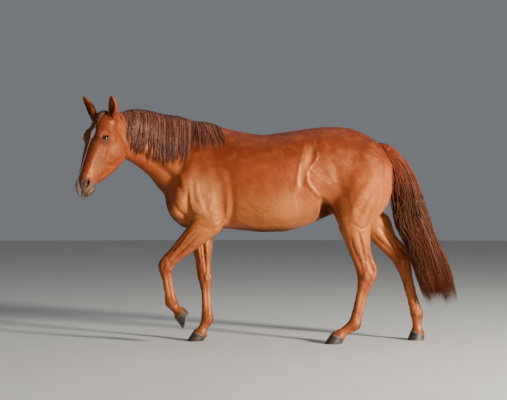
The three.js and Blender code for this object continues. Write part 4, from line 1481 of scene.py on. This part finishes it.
def ear_hairs(hide):
    """Pale hairs inside the ears and short dark ones along their edges."""
    cup = (hide.ear > 0.5) * (hide.inside > 0.9)
    edge = (hide.ear > 0.5) * (hide.inside > 0.2) * (hide.inside < 0.8)
    parts = []
    for weight, count, length in ((cup, 900, 0.018), (edge, 600, 0.006)):
        root, out, uv, which = hide.plant(weight, count)
        way = coat_lie(root, out, hide.ear[which])
        length, half = length * chance.uniform(0.5, 1.2, count), np.full(count, 0.0005)
        parts.append((root, out, way, uv, length, half, chance.uniform(0.5, 1.0, count)))
    parts = [np.concatenate(part) for part in zip(*parts)]
    return tufts("coat_ears", *parts, np.clip(chance.normal(0.8, 0.2, len(parts[0])), 0, 1))


LASHES = 90
WHISKERS = 130


def lashes(hide):
    """Lashes along the upper lids, longest in the middle."""
    parts = []
    for side in SIDES.values():
        angle = np.radians(chance.uniform(20, 160, LASHES))
        root, u = on_lid(angle, side, 0.0026)
        out, along, up = eye_axes(side)
        way = unit(out * 0.9 - up * 0.25 + along * u * 0.6 + chance.normal(0, 0.08, (LASHES, 3)))
        place = from_head(root + eye_centre(side))
        parts.append((place, unit(root) @ HEAD_TURN.T, way @ HEAD_TURN.T, 0.010 + 0.012 * np.sin(angle)))
    root, away, way, length = map(np.concatenate, zip(*parts))
    half, curl, shade = (np.full(len(root), value) for value in (0.00035, 0.35, 0.1))
    return tufts("eye_lashes", root, away, way, hide.place(root), length, half, curl, shade)


def whiskers(hide):
    """Long stiff hairs on the lips and chin and a few below the eyes."""
    head = to_head(hide.middle)
    weight = eased(head[:, 2], -0.54, -0.59) * (hide.ear < 0.5) * (hide.middle[:, 2] > 0.9)
    root, out, uv, _ = hide.plant(weight, WHISKERS)
    way = unit(out + chance.normal(0, 0.25, out.shape) + np.array([-0.2, 0, -0.5]))
    length = chance.uniform(0.015, 0.045, WHISKERS)
    half, curl, shade = (np.full(WHISKERS, value) for value in (0.0003, 0.2, 0.2))
    return tufts("muzzle_whiskers", root, out, way, uv, length, half, curl, shade)


def hair_piece(piece, *nodes):
    """Hides the solids that a piece of hair stands for, if any, and hangs the piece on the root."""
    if nodes:
        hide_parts(*nodes)
    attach(piece, "root")
    return piece


# ---- Finishes ----


def tone(red, green, blue):
    """A given colour, as light the shader works with."""
    shares = (value / 255 for value in (red, green, blue))
    return (*(c / 12.92 if c <= 0.04045 else ((c + 0.055) / 1.055) ** 2.4 for c in shares), 1)


class Nodes:
    """The nodes of one material or group, with a short call for each kind that the finishes need."""

    def __init__(self, tree):
        self.tree = tree

    def add(self, kind, inputs=None, **settings):
        made = self.tree.nodes.new(kind)
        for key, value in settings.items():
            setattr(made, key, value)
        for key, value in (inputs or {}).items():
            if isinstance(value, bpy.types.NodeSocket):
                self.tree.links.new(value, made.inputs[key])
            else:
                made.inputs[key].default_value = value
        return made

    @functools.cached_property
    def where(self):
        return self.add("ShaderNodeTexCoord").outputs["Object"]

    def given(self, name):
        """A number that the piece's corners carry."""
        return self.add("ShaderNodeAttribute", attribute_name=name).outputs["Fac"]

    def parts(self, vector):
        return self.add("ShaderNodeSeparateXYZ", {0: vector}).outputs

    def length(self, vector):
        return self.add("ShaderNodeVectorMath", {0: vector}, operation="LENGTH").outputs["Value"]

    def math(self, operation, first, *rest, clamp=False):
        for value in rest:
            pair = {0: first, 1: value}
            first = self.add("ShaderNodeMath", pair, operation=operation, use_clamp=clamp).outputs[0]
        return first

    def times(self, *values):
        return self.math("MULTIPLY", *values)

    def plus(self, *values, clamp=False):
        return self.math("ADD", *values, clamp=clamp)

    def less(self, a, b):
        return self.math("SUBTRACT", a, b)

    def most(self, *values):
        return self.math("MAXIMUM", *values)

    def radius(self, a, b):
        """How far a point is from the middle, from how far it is each way."""
        squares = [self.math("POWER", self.math("ABSOLUTE", value, 0.0), 2.0) for value in (a, b)]
        return self.math("SQRT", self.plus(*squares), 0.0)

    def ramp(self, value, low, high, to_low=0.0, to_high=1.0, shape="SMOOTHSTEP"):
        span = {"Value": value, "From Min": low, "From Max": high, "To Min": to_low, "To Max": to_high}
        return self.add("ShaderNodeMapRange", span, interpolation_type=shape).outputs["Result"]

    def curve(self, value, points):
        """A smooth curve through points, both ways from 0 to 1."""
        made = self.add("ShaderNodeFloatCurve", {"Value": value})
        line = made.mapping.curves[0]
        for x, y in points[1:-1]:
            line.points.new(x, y)
        line.points[0].location, line.points[-1].location = points[0], points[-1]
        for i, (x, y) in enumerate(points):
            line.points[i].location = (x, y)
        made.mapping.update()
        return made.outputs[0]

    def blend(self, share, a, b, kind="MIX"):
        both = {0: share, 6: a, 7: b}
        return self.add("ShaderNodeMix", both, data_type="RGBA", blend_type=kind).outputs[2]

    def mapped(self, coords, place=(0, 0, 0), lean=0.0, scale=(1, 1, 1), turn=0.0):
        """Coordinates from a place, leant by so many degrees, turned and scaled."""
        turns = (0, math.radians(lean), turn)
        values = {"Vector": coords, "Location": place, "Rotation": turns, "Scale": scale}
        return self.add("ShaderNodeMapping", values, vector_type="TEXTURE").outputs[0]

    def patch(self, middle, reach, soft, lean=0.0):
        """1 inside an egg-shaped region in body coordinates, fading to 0 at its edge."""
        local = self.mapped(self.where, tuple(np.array(middle) + BODY), lean, reach)
        return self.ramp(self.length(local), 1 - soft, 1.0, 1.0, 0.0)

    def noise(self, coords, scale, detail=3.0, rough=0.55, output="Fac"):
        values = {"Vector": coords, "Scale": scale, "Detail": detail, "Roughness": rough}
        return self.add("ShaderNodeTexNoise", values).outputs[output]

    def grain(self, coords, size, lean=0.0, detail=3.0, rough=0.55):
        """Noise drawn out to a size each way, leant by so many degrees."""
        return self.noise(self.mapped(coords, lean=lean, scale=size), 1.0, detail, rough)

    def bump(self, height, strength, distance, **under):
        values = {"Height": height, "Strength": strength, "Distance": distance, **under}
        return self.add("ShaderNodeBump", values).outputs[0]

    def feed(self, target, **sockets):
        """Links each result to the target's input of that name."""
        for name, socket in sockets.items():
            self.tree.links.new(socket, target.inputs[name.replace("_", " ")])


class Paint(Nodes):
    """Nodes with a colour that further colours are laid over, one after another."""

    def lay(self, share, red, green, blue):
        self.colour = self.blend(share, self.colour, tone(red, green, blue))


# Down the face: height from the poll, how far the white lies right of the middle, half its width.
BLAZE = [
    (-0.118, -0.006, 0.001), (-0.145, -0.012, 0.015), (-0.172, -0.015, 0.022), (-0.200, -0.010, 0.014),
    (-0.225, -0.001, 0.0045), (-0.276, 0.005, 0.0030), (-0.357, 0.010, 0.0028), (-0.440, 0.014, 0.0040),
    (-0.500, 0.020, 0.008), (-0.540, 0.012, 0.014), (-0.575, 0.002, 0.018), (-0.606, 0.000, 0.010),
    (-0.622, 0.000, 0.001),
]
BLAZE_LOW, BLAZE_HIGH = -0.640, -0.110
BLAZE_ASIDE, BLAZE_HALF = 0.06, 0.03

# Where veins show through the skin: middle in body coordinates and reach each way.
VEINED = [
    ((-0.15, -0.18, 0.70), (0.20, 0.18, 0.20)), ((-0.02, 0.18, 0.70), (0.16, 0.16, 0.20)),
    *(((-0.03, y, 1.04), (0.20, 0.18, 0.24)) for y in (-0.24, 0.24)),
    *(((0.98, y, 0.88), (0.16, 0.18, 0.24)) for y in (-0.22, 0.22)),
    *(((0.25, y, 0.90), (0.26, 0.20, 0.10)) for y in (-0.24, 0.24)),
]

# Patches on the coat, laid in this order: some are colours of its own, others painted highlight or painted
# shade. Each has its middle in body coordinates, reach each way, how strongly, the colour there, and for
# some how many degrees it leans back.
COAT_AND_PAINTED_LIGHT_PATCHES = [
    # Painted shade on the front of the near thigh, then over the croup.
    ((0.95, -0.20, 1.04), (0.19, 0.34, 0.34), 0.72, (106, 42, 23)),
    ((1.10, -0.05, 1.38), (0.30, 0.50, 0.22), 0.42, (92, 34, 18)),
    # Painted highlight on the near buttock.
    ((1.16, -0.24, 1.10), (0.13, 0.20, 0.20), 0.30, (206, 124, 60)),
    # Painted shade on the front of the far thigh.
    ((1.00, 0.20, 1.02), (0.16, 0.30, 0.26), 0.55, (112, 44, 24)),
    # Painted highlight on the back of the buttocks.
    ((1.32, 0.0, 1.12), (0.14, 0.30, 0.28), 0.45, (184, 98, 52)),
    # Painted shade in the hollow between hip and thigh.
    ((0.86, 0.0, 1.26), (0.14, 0.5, 0.16), 0.55, (98, 38, 22)),
    *(((0.56, y, 0.98), (0.16, 0.2, 0.16), 0.40, (206, 128, 76)) for y in (-0.26, 0.26)),
    # Painted highlight: a golden stripe down the near flank.
    ((0.685, -0.26, 1.27), (0.036, 0.26, 0.25), 0.36, (232, 152, 88), 18),
    ((-0.24, 0.0, 1.14), (0.26, 0.42, 0.34), 0.60, (186, 106, 62)),
    # Painted light on the far gaskin, where the tail shades it.
    ((1.22, 0.18, 0.80), (0.16, 0.15, 0.24), 0.55, (214, 136, 80)),
    # Painted shade behind the near jaw.
    ((-0.60, -0.29, 1.53), (0.070, 0.20, 0.14), 0.45, (49, 21, 12)),
    # Painted shade on the chest.
    ((-0.37, 0.0, 1.00), (0.19, 0.30, 0.32), 0.75, (68, 29, 16)),
    # Painted shadow in the groin, over its darker bare skin.
    ((0.834, 0.0, 0.945), (0.105, 0.26, 0.150), 1.00, (16, 8, 5)),
    # Painted shade between the hind legs.
    ((1.00, 0.0, 0.90), (0.20, 0.13, 0.22), 0.75, (60, 28, 16)),
    # Painted shade under the belly.
    ((0.42, 0.0, 0.795), (0.62, 0.25, 0.075), 0.95, (44, 18, 8)),
    # Painted highlight on the near shoulder.
    ((-0.04, -0.24, 1.06), (0.18, 0.15, 0.21), 0.50, (238, 158, 98)),
    ((-0.12, -0.22, 0.74), (0.17, 0.16, 0.12), 0.40, (128, 62, 38)),
    # Painted shade down the front of the chest and under the neck.
    ((-0.31, 0.0, 0.975), (0.065, 0.40, 0.11), 0.70, (60, 26, 15)),
    ((-0.275, 0.0, 0.880), (0.075, 0.40, 0.065), 0.70, (60, 26, 15)),
    ((-0.195, 0.0, 0.832), (0.085, 0.34, 0.050), 0.70, (60, 26, 15)),
    ((-0.405, 0.0, 1.125), (0.060, 0.50, 0.055), 0.60, (68, 29, 16)),
]
# Patches darker than this in every channel are painted shade, and are made rougher too.
PAINTED_SHADE_LEVEL = 70
BUTTOCK = (1.22, -0.24, 1.14), (0.20, 0.20, 0.26)


def leg_patches_and_painted_shade():
    """Darker knees, hocks, fetlocks and coronets, paler cannons with painted shade down their fronts, pale
    hock blotches.
    """
    rows = []
    for leg in LEGS.values():
        coronet, fetlock, knee = (np.array(j) for j in leg["joints"][:3])
        cannon = (fetlock + knee) / 2
        rows += [
            (knee + [-0.012, 0, 0.005], (0.085, 0.085, 0.095), 0.75, (98, 43, 23)),
            (fetlock, (0.065, 0.065, 0.060), 0.45, (120, 58, 32)),
            (coronet + [0, 0, 0.012], (0.085, 0.085, 0.045), 0.60, (104, 58, 36)),
            (cannon, (0.055, 0.08, 0.12), 0.55, (204, 122, 66)),
            # Painted shade down the front of each cannon.
            (cannon + [-0.036, 0, 0], (0.024, 0.05, 0.17), 0.75, (84, 36, 18)),
        ]
        if not leg["fore"]:
            rows.append((knee + [0.006, -0.03, -0.01], (0.030, 0.05, 0.034), 0.45, (158, 104, 88)))
    return rows


def coat_group():
    """Colour with painted light and shade, roughness and the lie of short hair over the whole of the skin
    and its coat.
    """
    group = bpy.data.node_groups.new("chestnut_coat", "ShaderNodeTree")
    for label, kind in {"Color": "Color", "Roughness": "Float", "Height": "Float", "Flesh": "Float"}.items():
        group.interface.new_socket(name=label, in_out="OUTPUT", socket_type=f"NodeSocket{kind}")
    n = Paint(group)
    body = n.mapped(n.where, tuple(BODY))
    head = n.mapped(n.where, tuple(poll() + BODY), HEAD_LEAN, turn=NECK_TURN)
    x, _, z = n.parts(body)
    fx, fy, fz = n.parts(head)
    small = n.noise(body, 14.0, 4.0)
    on_legs = n.ramp(z, 0.80, 0.60)
    body_hairs = n.grain(body, (0.014, 0.0022, 0.0022), 30, rough=0.6)
    leg_hairs = n.grain(body, (0.002, 0.002, 0.012), rough=0.6)
    streak = n.add("ShaderNodeMix", {0: on_legs, 2: body_hairs, 3: leg_hairs}, data_type="FLOAT").outputs[0]

    # The body, from its dark back to its paler belly, with patches of its own colour, painted shade and
    # painted highlight, and a fine mottle.
    n.colour = n.blend(n.ramp(z, 1.16, 0.90), tone(142, 61, 33), tone(172, 97, 50))
    n.lay(n.times(n.ramp(z, 1.20, 1.42), n.ramp(x, -0.25, 0.0)), 110, 40, 22)
    n.lay(n.times(on_legs, 0.85), 140, 68, 41)
    dullest = 0.0
    for middle, reach, depth, shade, *lean in COAT_AND_PAINTED_LIGHT_PATCHES + leg_patches_and_painted_shade():
        share = n.times(n.patch(middle, reach, 0.75, sum(lean)), depth)
        n.lay(share, *shade)
        # The painted shade patches are made rougher as well.
        if max(shade) < PAINTED_SHADE_LEVEL:
            dullest = n.most(dullest, share)
    dullest = n.most(dullest, n.ramp(n.patch(*BUTTOCK, 0.8), 0.0, 1.0, 0.0, 0.42))
    n.lay(n.ramp(n.noise(body, 2.6), 0.35, 0.70, 0.0, 0.22), 126, 48, 26)
    n.lay(n.ramp(small, 0.45, 0.75, 0.0, 0.20), 196, 110, 62)

    # The head: brow darkened with painted shade, dull cheeks, grey muzzle and lips, then the rings of the
    # eyes and nostrils.
    on_head = n.times(n.ramp(fx, 0.30, 0.16), n.ramp(fz, 0.02, -0.05))
    n.lay(n.times(on_head, 0.85), 130, 57, 31)
    # Painted shade over the brow.
    n.lay(n.times(n.ramp(fz, -0.22, -0.12), n.ramp(fx, 0.14, 0.07), on_head, 0.80), 104, 38, 22)
    for side in SIDES.values():
        dull = n.patch(from_head(np.array([0.062, 0.075 * side, -0.345])) - BODY, (0.075, 0.075, 0.170), 0.8)
        n.lay(n.times(dull, 0.60), 112, 68, 46)
        dullest = n.most(dullest, n.times(dull, 0.35))
    under_jaw = n.ramp(fx, 0.30, 0.20)
    muzzle = n.times(n.ramp(n.plus(fz, n.times(small, 0.05)), -0.435, -0.520), under_jaw)
    n.lay(n.times(muzzle, 0.85), 80, 72, 67)
    n.lay(n.times(n.ramp(fz, -0.545, -0.595), under_jaw, 0.8), 82, 68, 62)
    for side in SIDES.values():
        socket = (EYE.x + 0.004, EYE.y * side, EYE.z - 0.010)
        eye = n.length(n.mapped(head, socket, 35, (0.040, 0.04, 0.033)))
        n.lay(n.ramp(eye, 1.75, 1.0, 0.0, 0.55), 92, 42, 25)
        n.lay(n.ramp(eye, 1.10, 0.70, 0.0, 0.72), 70, 44, 34)
        n.lay(n.ramp(eye, 0.74, 0.56, 0.0, 0.75), 58, 42, 36)
        dullest = n.most(dullest, n.ramp(eye, 1.9, 1.2, 0.0, 0.60))
        nostril = n.length(n.mapped(head, tuple(nostril_middle(side)), -20, (0.030, 0.03, 0.036)))
        n.lay(n.ramp(nostril, 1.1, 0.6, 0.0, 0.7), 70, 52, 46)

    # The star and stripe, with a ragged edge.
    down = n.ramp(fz, BLAZE_LOW, BLAZE_HIGH, shape="LINEAR")
    span = BLAZE_HIGH - BLAZE_LOW
    places = [((height - BLAZE_LOW) / span, aside, half) for height, aside, half in reversed(BLAZE)]
    aside = n.curve(down, [(0.0, 0.5)] + [(p, 0.5 + a / BLAZE_ASIDE) for p, a, _ in places] + [(1.0, 0.45)])
    half = n.curve(down, [(0.0, 0.0)] + [(p, w / BLAZE_HALF) for p, _, w in places] + [(1.0, 0.0)])
    off = n.math("ABSOLUTE", n.less(fy, n.times(n.less(aside, 0.5), BLAZE_ASIDE)), 0.0)
    ragged = n.times(n.less(n.grain(head, (0.01, 0.003, 0.012)), 0.5), 0.010)
    edge = n.plus(n.less(off, n.times(half, BLAZE_HALF)), ragged)
    white = n.times(n.ramp(edge, 0.0020, -0.0015), n.ramp(fx, 0.10, 0.06), n.ramp(half, 0.012, 0.03))
    pale = n.blend(n.ramp(fz, -0.47, -0.53), tone(252, 240, 228), tone(226, 184, 164))
    n.colour = n.blend(white, n.colour, pale)

    # Light and dark hairs, and the inside of the ears, paler in its own hair and paler still with painted
    # light in the shaded cups.
    light = n.plus(n.ramp(streak, 0.3, 0.7, 0.90, 1.10), n.ramp(n.given("shade"), 0.0, 1.0, -0.12, 0.16))
    n.colour = n.blend(1.0, n.colour, light, "MULTIPLY")
    # The ear cups paler, partly painted light where they lie in shade.
    n.lay(n.times(n.given("inside"), 0.8), 196, 98, 62)
    rough = n.plus(n.ramp(streak, 0.25, 0.75, 0.38, 0.50), n.times(muzzle, 0.08), n.times(dullest, 0.5))

    # Small lumps and ripples of the flesh, and veins where the skin is thin.
    ripple = n.grain(body, (0.028, 0.018, 0.018), 20, 2.0, 0.5)
    flesh = n.plus(n.grain(body, (0.11, 0.06, 0.06), 35, 2.0, 0.5), n.times(ripple, 0.22))
    drift = n.noise(body, 7.0, 2.0, 0.5, "Color")
    long_web = n.mapped(body, lean=14, scale=(1.0, 1.0, 2.1))
    bent = n.add("ShaderNodeMix", {0: 0.13, 4: long_web, 5: drift}, data_type="VECTOR").outputs[1]
    web = n.add("ShaderNodeTexVoronoi", {"Vector": bent, "Scale": 11.0}, feature="DISTANCE_TO_EDGE")
    shown = n.most(*(n.patch(middle, reach, 0.6) for middle, reach in VEINED))
    flesh = n.plus(flesh, n.times(n.ramp(web.outputs["Distance"], 0.075, 0.0), shown, 0.18))
    n.feed(group.nodes.new("NodeGroupOutput"), Color=n.colour, Roughness=rough, Height=streak, Flesh=flesh)
    return group


def finish(name, base, kind=Nodes):
    """A material with the values that are the same all over, its nodes and its shader."""
    material = bpy.data.materials.new(name)
    material.use_nodes = True
    shader = material.node_tree.nodes["Principled BSDF"]
    for key, value in base.items():
        shader.inputs[key].default_value = value
    return material, kind(material.node_tree), shader


def coat_material():
    """The skin and its short hair: the group's colour under a warm gleam, with bumps for flesh and hair."""
    base = {"Sheen Weight": 0.02, "Sheen Roughness": 0.4, "Sheen Tint": tone(255, 190, 140)}
    gloss = {"Specular IOR Level": 0.85, "Specular Tint": tone(255, 186, 122)}
    material, n, shader = finish("chestnut coat", base | gloss)
    coat = n.add("ShaderNodeGroup", node_tree=coat_group()).outputs
    flesh = n.bump(coat["Flesh"], 0.5, 0.012)
    hairs = n.bump(coat["Height"], 0.35, 0.0012, Normal=flesh)
    n.feed(shader, Base_Color=coat["Color"], Roughness=coat["Roughness"], Normal=hairs)
    return material


def hair_material(name, dark, light, gleam, low=None):
    """Long hair: each lock its own shade, streaked along its length."""
    base = {"Sheen Weight": 0.02, "Sheen Tint": tone(255, 200, 160)}
    gloss = {"Specular IOR Level": 0.45, "Specular Tint": tone(*gleam)}
    material, n, shader = finish(name, base | gloss, Paint)
    streak = n.grain(n.where, (0.002, 0.002, 0.02))
    share = n.plus(
        n.ramp(n.given("shade"), 0.25, 0.95, 0.0, 0.75), n.ramp(streak, 0.4, 0.8, -0.08, 0.30), clamp=True
    )
    n.colour = n.blend(share, tone(*dark), tone(*light))
    if low:
        top, tip = low
        z = n.parts(n.where)["Z"]
        n.lay(n.ramp(z, 1.02, 1.38, 0.0, 0.85), *top)
        n.lay(n.ramp(z, 0.55, 0.36, 0.0, 0.6), *tip)
    n.lay(n.ramp(n.given("along"), 0.75, 1.0, 0.0, 0.22), *light)
    rough = n.ramp(streak, 0.3, 0.7, 0.34, 0.52)
    n.feed(shader, Base_Color=n.colour, Roughness=rough, Normal=n.bump(streak, 0.3, 0.0008))
    return material


def horn_material():
    """Dark horn with rings of growth and fine grain, paler at the coronet and round the ground edge."""
    material, n, shader = finish("hoof horn", {"Specular IOR Level": 0.5}, Paint)
    rise = n.given("rise")
    rings = n.grain(n.where, (0.2, 0.2, 0.006), detail=4.0)
    grain = n.grain(n.where, (0.0015, 0.0015, 0.03))
    blotch = n.noise(n.where, 40.0, 4.0)
    n.colour = n.blend(n.ramp(rings, 0.3, 0.7), tone(42, 33, 31), tone(74, 61, 55))
    n.lay(n.ramp(grain, 0.35, 0.75, 0.0, 0.5), 40, 33, 30)
    n.lay(n.ramp(blotch, 0.5, 0.8, 0.0, 0.4), 120, 104, 90)
    n.lay(n.ramp(rise, 0.80, 0.97, 0.0, 0.7), 128, 106, 90)
    n.lay(n.ramp(rise, 0.14, 0.0, 0.0, 0.6), 122, 106, 88)
    bump = n.bump(n.plus(n.times(rings, 0.7), n.times(grain, 0.3)), 0.5, 0.0015)
    n.feed(shader, Base_Color=n.colour, Roughness=n.ramp(blotch, 0.3, 0.8, 0.34, 0.62), Normal=bump)
    return material


def eye_material():
    """A brown iris with fine rays round a level oval pupil, and the dark rim of the white."""
    wet = {"Roughness": 0.12, "Coat Weight": 1.0, "Coat Roughness": 0.02, "Coat IOR": 1.38, "IOR": 1.38}
    material, n, shader = finish("dark wet eye", wet, Paint)
    across, rise = n.given("slit"), n.given("rise")
    far = n.radius(across, rise)
    turn = n.math("ARCTAN2", rise, across)
    spin = n.add("ShaderNodeCombineXYZ", {0: n.times(turn, 9.0), 1: n.times(far, 2.5)}).outputs[0]
    rays = n.noise(spin, 2.0, rough=0.5)
    n.colour = n.blend(n.ramp(rays, 0.3, 0.75), tone(22, 11, 7), tone(60, 32, 17))
    n.lay(n.ramp(far, 0.50, 0.62), 20, 12, 9)
    pupil = n.radius(n.math("DIVIDE", across, 0.42), n.math("DIVIDE", rise, 0.25))
    n.lay(n.ramp(pupil, 1.08, 0.95), 6, 5, 6)
    white = n.blend(n.ramp(far, 0.80, 1.0), tone(36, 24, 20), tone(110, 90, 78))
    n.feed(shader, Base_Color=n.blend(n.ramp(far, 0.60, 0.68), n.colour, white))
    return material


def plain_material(name, base, scale, detail, dark, light, smooth, rough):
    """One colour with a slight grain, for the edges of the lids and the floor."""
    material, n, shader = finish(name, base)
    grain = n.noise(n.where, scale, detail)
    colour = n.blend(grain, tone(*dark), tone(*light))
    n.feed(shader, Base_Color=colour, Roughness=n.ramp(grain, 0.3, 0.7, smooth, rough))
    return material


def wear(piece, material):
    """Gives a piece its one material."""
    piece.data.materials.clear()
    piece.data.materials.append(material)
    return piece


skin = build_skin()
join_ears(skin)
tree = BVHTree.FromObject(skin, bpy.context.evaluated_depsgraph_get())
coat = coat_material()
mane_hair = hair_material("mane hair", (64, 30, 22), (172, 112, 90), (255, 222, 206))
tail_ends = (126, 54, 30), (86, 40, 24)
tail_hair = hair_material("tail hair", (58, 21, 12), (122, 55, 33), (255, 200, 160), tail_ends)
horn, wet_eye = horn_material(), eye_material()
wet_lid = plain_material(
    "wet lid edge", {"Specular IOR Level": 0.6}, 260.0, 3.0, (26, 18, 16), (56, 40, 34), 0.22, 0.36
)
wear(skin, coat)
for name, side in SIDES.items():
    wear(eyeball(name, side), wet_eye)
    wear(lid_margin(name, side), wet_lid)
for name, leg in LEGS.items():
    wear(hoof(name, leg), horn)
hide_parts(*FLESH, "ear_left", "ear_right")
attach(skin, "root")
give(skin, "shade", np.full(len(skin.data.vertices), 0.45))
hide = Hide(skin)
for piece in short_coat(hide) + [longer_hairs(hide), ear_hairs(hide)]:
    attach(piece, "root")
    wear(piece, coat)
wear(hair_piece(lashes(hide)), mane_hair)
wear(hair_piece(whiskers(hide)), mane_hair)
wear(hair_piece(mane(Crest(tree), hide), "mane"), mane_hair)
wear(hair_piece(forelock(tree, hide), "forelock"), mane_hair)
wear(hair_piece(tail_core(), "tail"), tail_hair)
for name in ("tail_hair_a", "tail_hair_b"):
    wear(hair_piece(tail_half(name), "tail"), tail_hair)

# ---- Floor, light and camera ----

floor = cylinder(96, 30, 0.02, location=(0, 0, -0.01))
floor.name = "studio_floor"
wear(floor, plain_material("studio floor", {}, 3.0, 5.0, (205, 204, 201), (212, 211, 208), 0.75, 0.85))


def studio_light(name, place, aim, size, power, colour):
    """A round lamp at a place, turned to a point."""
    light = bpy.data.lights.new(name, "AREA")
    light.shape, light.size, light.energy, light.color = "DISK", size, power, colour
    lamp = show(bpy.data.objects.new(name, light))
    lamp.location = place
    lamp.rotation_euler = (Vector(aim) - Vector(place)).to_track_quat("-Z", "Y").to_euler()


studio_light("key", (7.2, -5.6, 3.0), (0, 0, 0.9), 1.5, 2300, (1.0, 0.93, 0.82))
studio_light("fill", (-6.5, -5.5, 3.0), (0, 0, 0.9), 5.0, 15, (0.90, 0.94, 1.0))
studio_light("top", (0.5, 1.5, 6.5), (0, 0, 0.9), 5.0, 35, (0.90, 0.95, 1.0))

world = bpy.data.worlds.new("studio")
bpy.context.scene.world = world
world.use_nodes = True
world.node_tree.nodes["Background"].inputs["Color"].default_value = (0.80, 0.84, 0.90, 1)
world.node_tree.nodes["Background"].inputs["Strength"].default_value = 0.22

lens = bpy.data.cameras.new("view")
lens.lens, lens.sensor_width = 82.8, 36
camera = show(bpy.data.objects.new("view", lens))
camera.location = (-0.1213, -8.380, 0.950)
camera.rotation_euler = (math.radians(90.55), 0, 0)
bpy.context.scene.camera = camera
